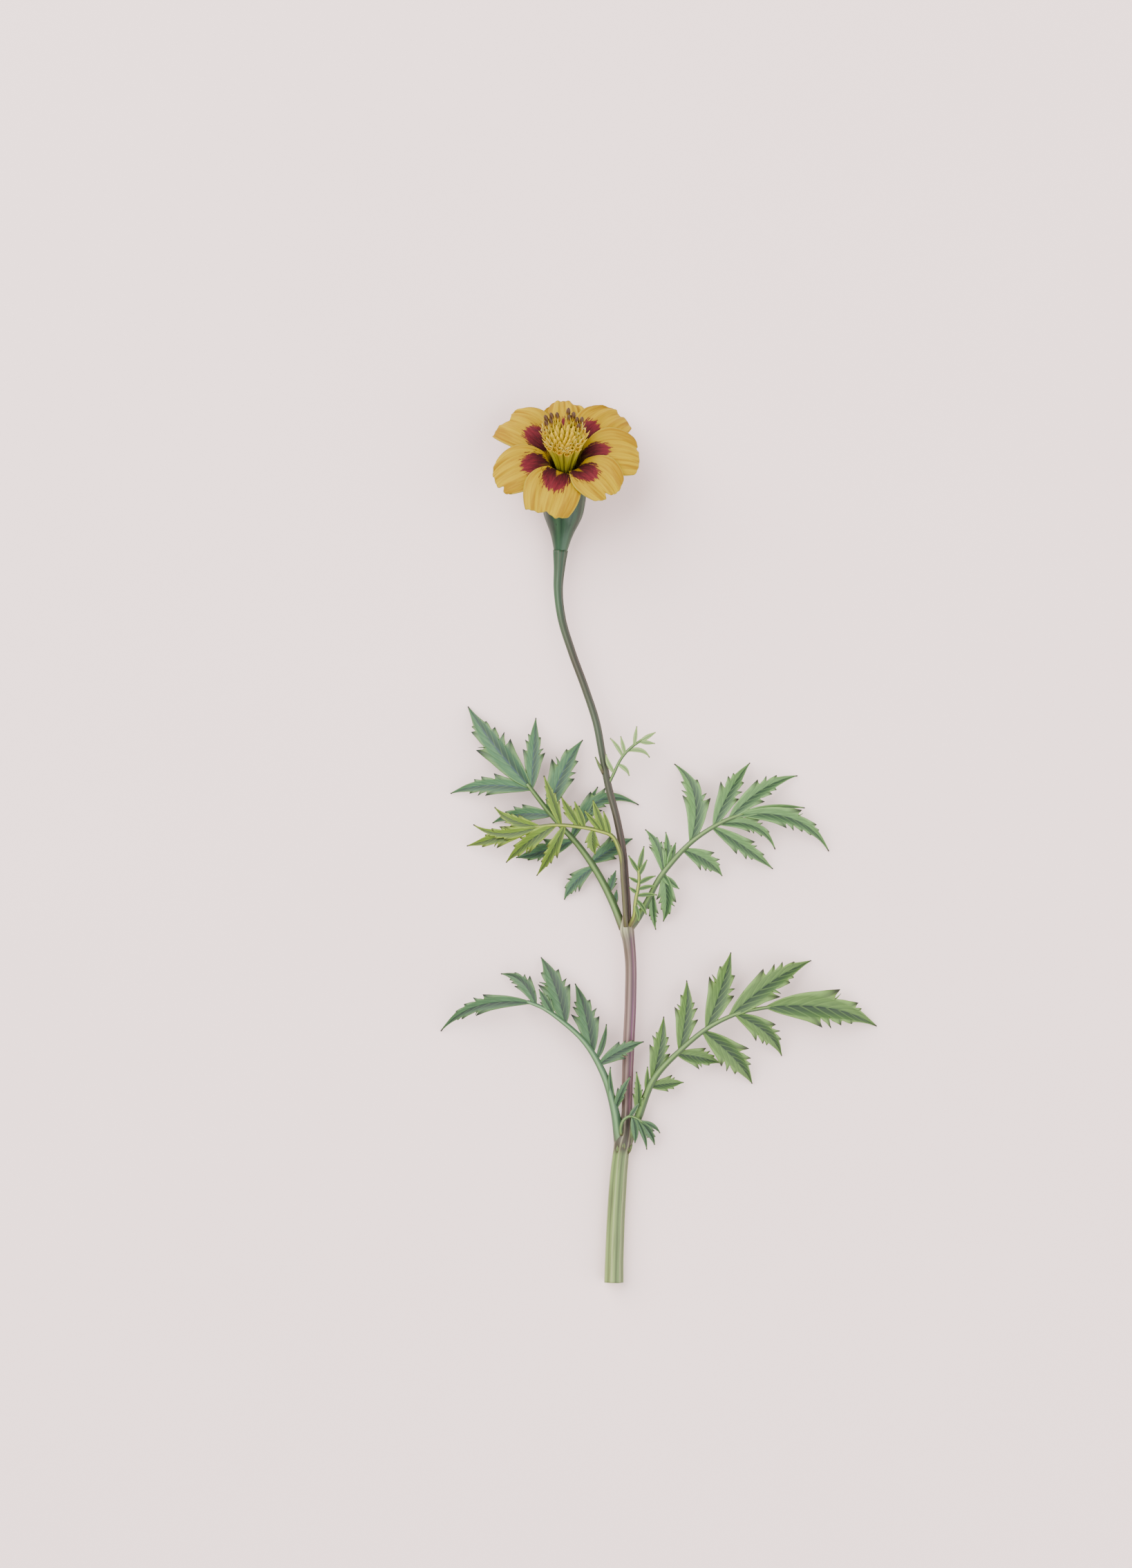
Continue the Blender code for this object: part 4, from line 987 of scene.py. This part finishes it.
def petal(index, skin):
    """A clawed petal with a broad limb, its own notches and folds, and its blotch's map."""
    azimuth, limb, halves, sides, corners, notches, blotch = PETALS[index]
    turn = math.radians(azimuth)
    lengths, radii, heights = petal_profile(turn)
    whole = CLAW_HEIGHT + limb

    def limb_point(u, row):
        """Millimetres across and along at a grid point, and how far out on the limb it is."""
        v = row / PETAL_ROWS * whole
        f = max(0.0, (v - CLAW_HEIGHT) / limb)
        corner = corners[0] if u < 0.0 else corners[1]
        rounding = corner * abs(u) ** 3 * f
        dips = (depth * math.exp(-(((u - spot) / wide) ** 2)) for spot, depth, wide in notches)
        lobing = sum(dips) * f**4
        crisp = 0.0025 * math.sin(17.0 * u + index) * f**6
        spread = math.sin(math.pi / 2.0 * min(1.0, f / LIMB_SPREAD)) ** 1.4
        half = CLAW_HALF_WIDTH + (halves[u > 0.0] - CLAW_HALF_WIDTH) * spread
        half *= 1.0 - END_NARROWING * max(0.0, (f - LIMB_SPREAD) / (1.0 - LIMB_SPREAD)) ** 2
        return u * half, v * (1.0 - rounding - lobing + crisp), f

    def place(u, row):
        across, along, f = limb_point(u, row)
        ahead = float(np.interp(along, lengths, radii))
        height = float(np.interp(along, lengths, heights))
        radius = math.hypot(ahead, across)
        spot = turn + math.atan2(across, ahead)
        on_limb = min(1.0, f / CLAW_BEND)
        _, ring_radii, ring_heights = petal_profile(spot)
        height += (float(np.interp(radius, ring_radii, ring_heights)) - height) * on_limb
        cupping = EDGE_CUPPING * u * u * f * (1.0 - f)
        height += EDGE_LIFT * sides[u > 0.0] * abs(u) * on_limb + cupping
        pleats = math.cos(math.pi * 3.0 * u + index)
        pleats += 0.5 * math.cos(math.pi * 7.0 * u + 2.0 * index)
        height += PLEAT_DEPTH * pleats * on_limb * f * (1.0 - 0.5 * u * u)
        return HEAD @ polar(radius, spot, height)

    piece = sheet_of(PETAL_COLUMNS, PETAL_ROWS, place)
    mesh = piece.data
    mark_map = mesh.uv_layers.new(name="blotch").data
    rims = mesh.attributes.new("edge", "FLOAT", "POINT")
    wedges = mesh.attributes.new("wedge", "FLOAT", "POINT")
    spot_across, spot_along, half_width, half_length, wedge = blotch
    marks = []
    for vert in mesh.vertices:
        row, column = divmod(vert.index, PETAL_COLUMNS + 1)
        u = 2.0 * column / PETAL_COLUMNS - 1.0
        across, along, f = limb_point(u, row)
        outwards = (along - spot_along) / half_length
        fan = 0.85 + 0.15 * max(-1.0, min(1.0, outwards + 0.2))
        marks.append(((across - spot_across) / (half_width * fan), outwards))
        rims.data[vert.index].value = float(column in (0, PETAL_COLUMNS) or row == PETAL_ROWS)
        wedges.data[vert.index].value = wedge
    for loop in mesh.loops:
        mark_map[loop.index].uv = marks[loop.vertex_index]
    thicken(piece, PETAL_BLADE)
    piece.data.materials.append(skin)
    return piece


def build_rays():
    """The ring of seven petals."""
    skin = petal_material()
    petals = [petal(index, skin) for index in range(len(PETALS))]
    finish_piece(joined("ray_florets_piece", petals), ["ray_florets"])


def floret_parts():
    """The parts of a disc floret, upright at the origin: a closed bud, an open tube with five
    lobes, a tube of anthers and a pair of curled style branches."""

    def upright(columns, rows, lobed=0.0):
        """A closed round form through rows of radius and height, with or without lobes."""

        def place(angle, row):
            radius, height = rows[row]
            lobe = lobed * max(0.0, math.cos(5.0 * angle)) * (row in (6, 7, 8))
            size = radius * (1.0 + 0.07 * math.cos(5.0 * angle)) + 0.35 * lobe
            return polar(size, angle, height + lobe)

        return round_form(columns, len(rows), place)

    bud = upright(20, [
        (0.02, 0.0), (0.45, 0.0), (0.5, 4.0), (0.62, 8.0), (0.82, 10.8), (0.84, 12.0), (0.66, 13.1),
        (0.34, 13.8), (0.02, 14.2),
    ])
    bloom = upright(20, [
        (0.02, 0.0), (0.4, 0.0), (0.42, 4.0), (0.52, 8.0), (0.74, 10.6), (0.86, 12.0), (0.92, 12.6),
        (0.88, 12.8), (0.74, 12.5), (0.6, 11.6), (0.02, 11.3),
    ], 1.0)
    anthers = upright(10, [
        (0.02, 10.6), (0.2, 10.7), (0.26, 12.7), (0.58, 13.1), (0.7, 13.7), (0.54, 14.3),
        (0.02, 14.6),
    ])
    branches = []
    for side in (-1.0, 1.0):
        arc = []
        for k in range(11):
            bend = 1.9 * (k / 10) ** 1.5
            x = side * (0.08 + 1.15 * (1.0 - math.cos(bend)))
            z = 12.4 + 1.9 * math.sin(bend)
            arc.append((x, 0.001 * z, z, 0.14 - 0.005 * k))
        branches.append(rolled(6, arc))
    styles = joined("styles", branches)
    return bud, bloom, anthers, styles


def build_disc():
    """Florets in a sunflower spiral, the inner ones still in bud."""
    bud, bloom, anthers, styles = floret_parts()
    corolla = tube_flower_material("disc_corolla", [
        (0.0, "#90902b"), (1.0, "#eeb818"), (0.45, "#9a8e1e"), (0.7, "#b49418"), (0.85, "#d3a50b"),
    ])
    budding = tube_flower_material("disc_bud", [
        (0.0, "#838623"), (1.0, "#d1a813"), (0.5, "#968a1d"), (0.8, "#b69611"),
    ])
    dark = tube_flower_material("disc_anther", [
        (0.0, "#a8841c"), (1.0, "#3c2208"), (0.5, "#a8841c"), (0.68, "#4a2c0c"),
    ])
    cream = tube_flower_material("disc_style", [(0.0, "#a88c24"), (1.0, "#bcab55")])
    low, high = DISC_HEIGHTS
    centre = Vector(DISC_LEAN)
    parts = []
    for index in range(DISC_FLORETS):
        share = math.sqrt((index + 0.5) / DISC_FLORETS)
        turn = (index * GOLDEN_ANGLE) % math.tau
        aside = turn - GAP_AZIMUTH
        if abs(aside) < GAP_REACH and share > 0.4:
            kept_off = GAP_HALF + abs(aside) * (1.0 - GAP_HALF / GAP_REACH)
            turn = GAP_AZIMUTH + math.copysign(kept_off, aside)
        out = polar(1.0, turn)
        root = out * DISC_ROOT_RADIUS * share + UP * FLORET_ROOT
        height = low + (high - low + DISC_BACK_RISE * out.y) * share
        top = out * DISC_TOP_RADIUS * share + UP * height + centre
        bend = out * (DISC_ROOT_RADIUS + 0.5) * share + UP * FLORET_BEND + centre * 0.4
        kinds = [(bud, budding)]
        if share > 0.55:
            kinds = [(bloom, corolla)]
            if out.y > 0.4 and share > 0.7:
                kinds.append((anthers, dark))
            if out.y < 0.6 and index % 3 == 0:
                kinds.append((styles, cream))
        for template, skin in kinds:
            mesh = template.data.copy()
            copy = bpy.data.objects.new("floret", mesh)
            bpy.context.scene.collection.objects.link(copy)
            for vert in mesh.vertices:
                x, y, z = vert.co / MM
                on_line, ahead = curve(root, bend, top, z / FLORET_LENGTH)
                side = Vector((-out.y, out.x, 0.0))
                vert.co = (HEAD @ (on_line + side * x + side.cross(ahead) * -y)) * MM
            mesh.materials.append(skin)
            parts.append(copy)

    def core_place(angle, row):
        radius, height = CORE_PROFILE[row]
        return HEAD @ polar(radius, angle, height)

    core = round_form(CORE_SIDES, len(CORE_PROFILE), core_place)
    core.data.materials.append(budding)
    for template in (bud, bloom, anthers, styles):
        bpy.data.objects.remove(template)
    finish_piece(joined("disc_florets_piece", [core] + parts), ["disc_florets"])


def build_stage():
    """Camera straight above, a plain pale floor, and soft light from the upper left."""
    camera = bpy.data.objects.new("camera", bpy.data.cameras.new("camera"))
    camera.data.lens = CAMERA_LENS
    camera.data.sensor_width = CAMERA_SENSOR
    camera.data.clip_end = 10.0
    camera.location = [value * MM for value in CAMERA_PLACE]
    bpy.context.scene.collection.objects.link(camera)
    bpy.context.scene.camera = camera
    bpy.ops.object.select_all(action="DESELECT")
    bpy.ops.mesh.primitive_plane_add(size=FLOOR_SIZE, location=(0.0, 0.0, FLOOR_LEVEL))
    floor = bpy.context.active_object
    floor.name = "floor"
    paint = Skin("floor_matt_paint", 0.9)
    cloud = paint.noise(paint.spot(), 14.0, 3.0)
    floor.data.materials.append(
        paint.finished(paint.ramp(cloud, [(0.3, "#fde1dd"), (0.7, "#ffe3df")]))
    )
    for name, place, size, power in LIGHTS:
        lamp = bpy.data.objects.new(name, bpy.data.lights.new(name, "AREA"))
        lamp.data.size = size
        lamp.data.energy = power
        lamp.location = place
        lamp.rotation_euler = (LIGHT_AIM - Vector(place)).to_track_quat("-Z", "Y").to_euler()
        bpy.context.scene.collection.objects.link(lamp)
    world = bpy.data.worlds.new("studio")
    world.use_nodes = True
    background = world.node_tree.nodes["Background"]
    background.inputs[0].default_value = linear("#ffffff")
    background.inputs[1].default_value = WORLD_LIGHT
    bpy.context.scene.world = world


def main():
    """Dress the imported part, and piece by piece."""
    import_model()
    build_stage()
    blue, silver, mid, fresh, yellow, pale = (
        leaf_blade_material(name, *colours) for name, colours in BLADES.items()
    )
    green_stalk, blue_stalk, front_stalk, yellow_stalk = (
        petiole_material(name, *colours) for name, colours in STALKS.items()
    )
    build_stem()
    frond("leaf_lower_left_piece", LOWER_LEFT, blue, blue_stalk)
    frond("leaf_lower_right_piece", LOWER_RIGHT, mid, green_stalk)
    frond("leaf_lower_young_piece", YOUNG_CURL, blue, green_stalk)
    frond("leaf_upper_left_piece", UPPER_LEFT, silver, green_stalk)
    frond("leaf_upper_front_piece", UPPER_FRONT, yellow, front_stalk)
    frond("leaf_upper_right_piece", UPPER_RIGHT, fresh, green_stalk)
    frond("axil_shoot_piece", AXIL_SHOOT, mid, yellow_stalk)
    frond("peduncle_bract_piece", BRACT, pale, green_stalk)
    build_cup()
    build_rays()
    build_disc()


main()
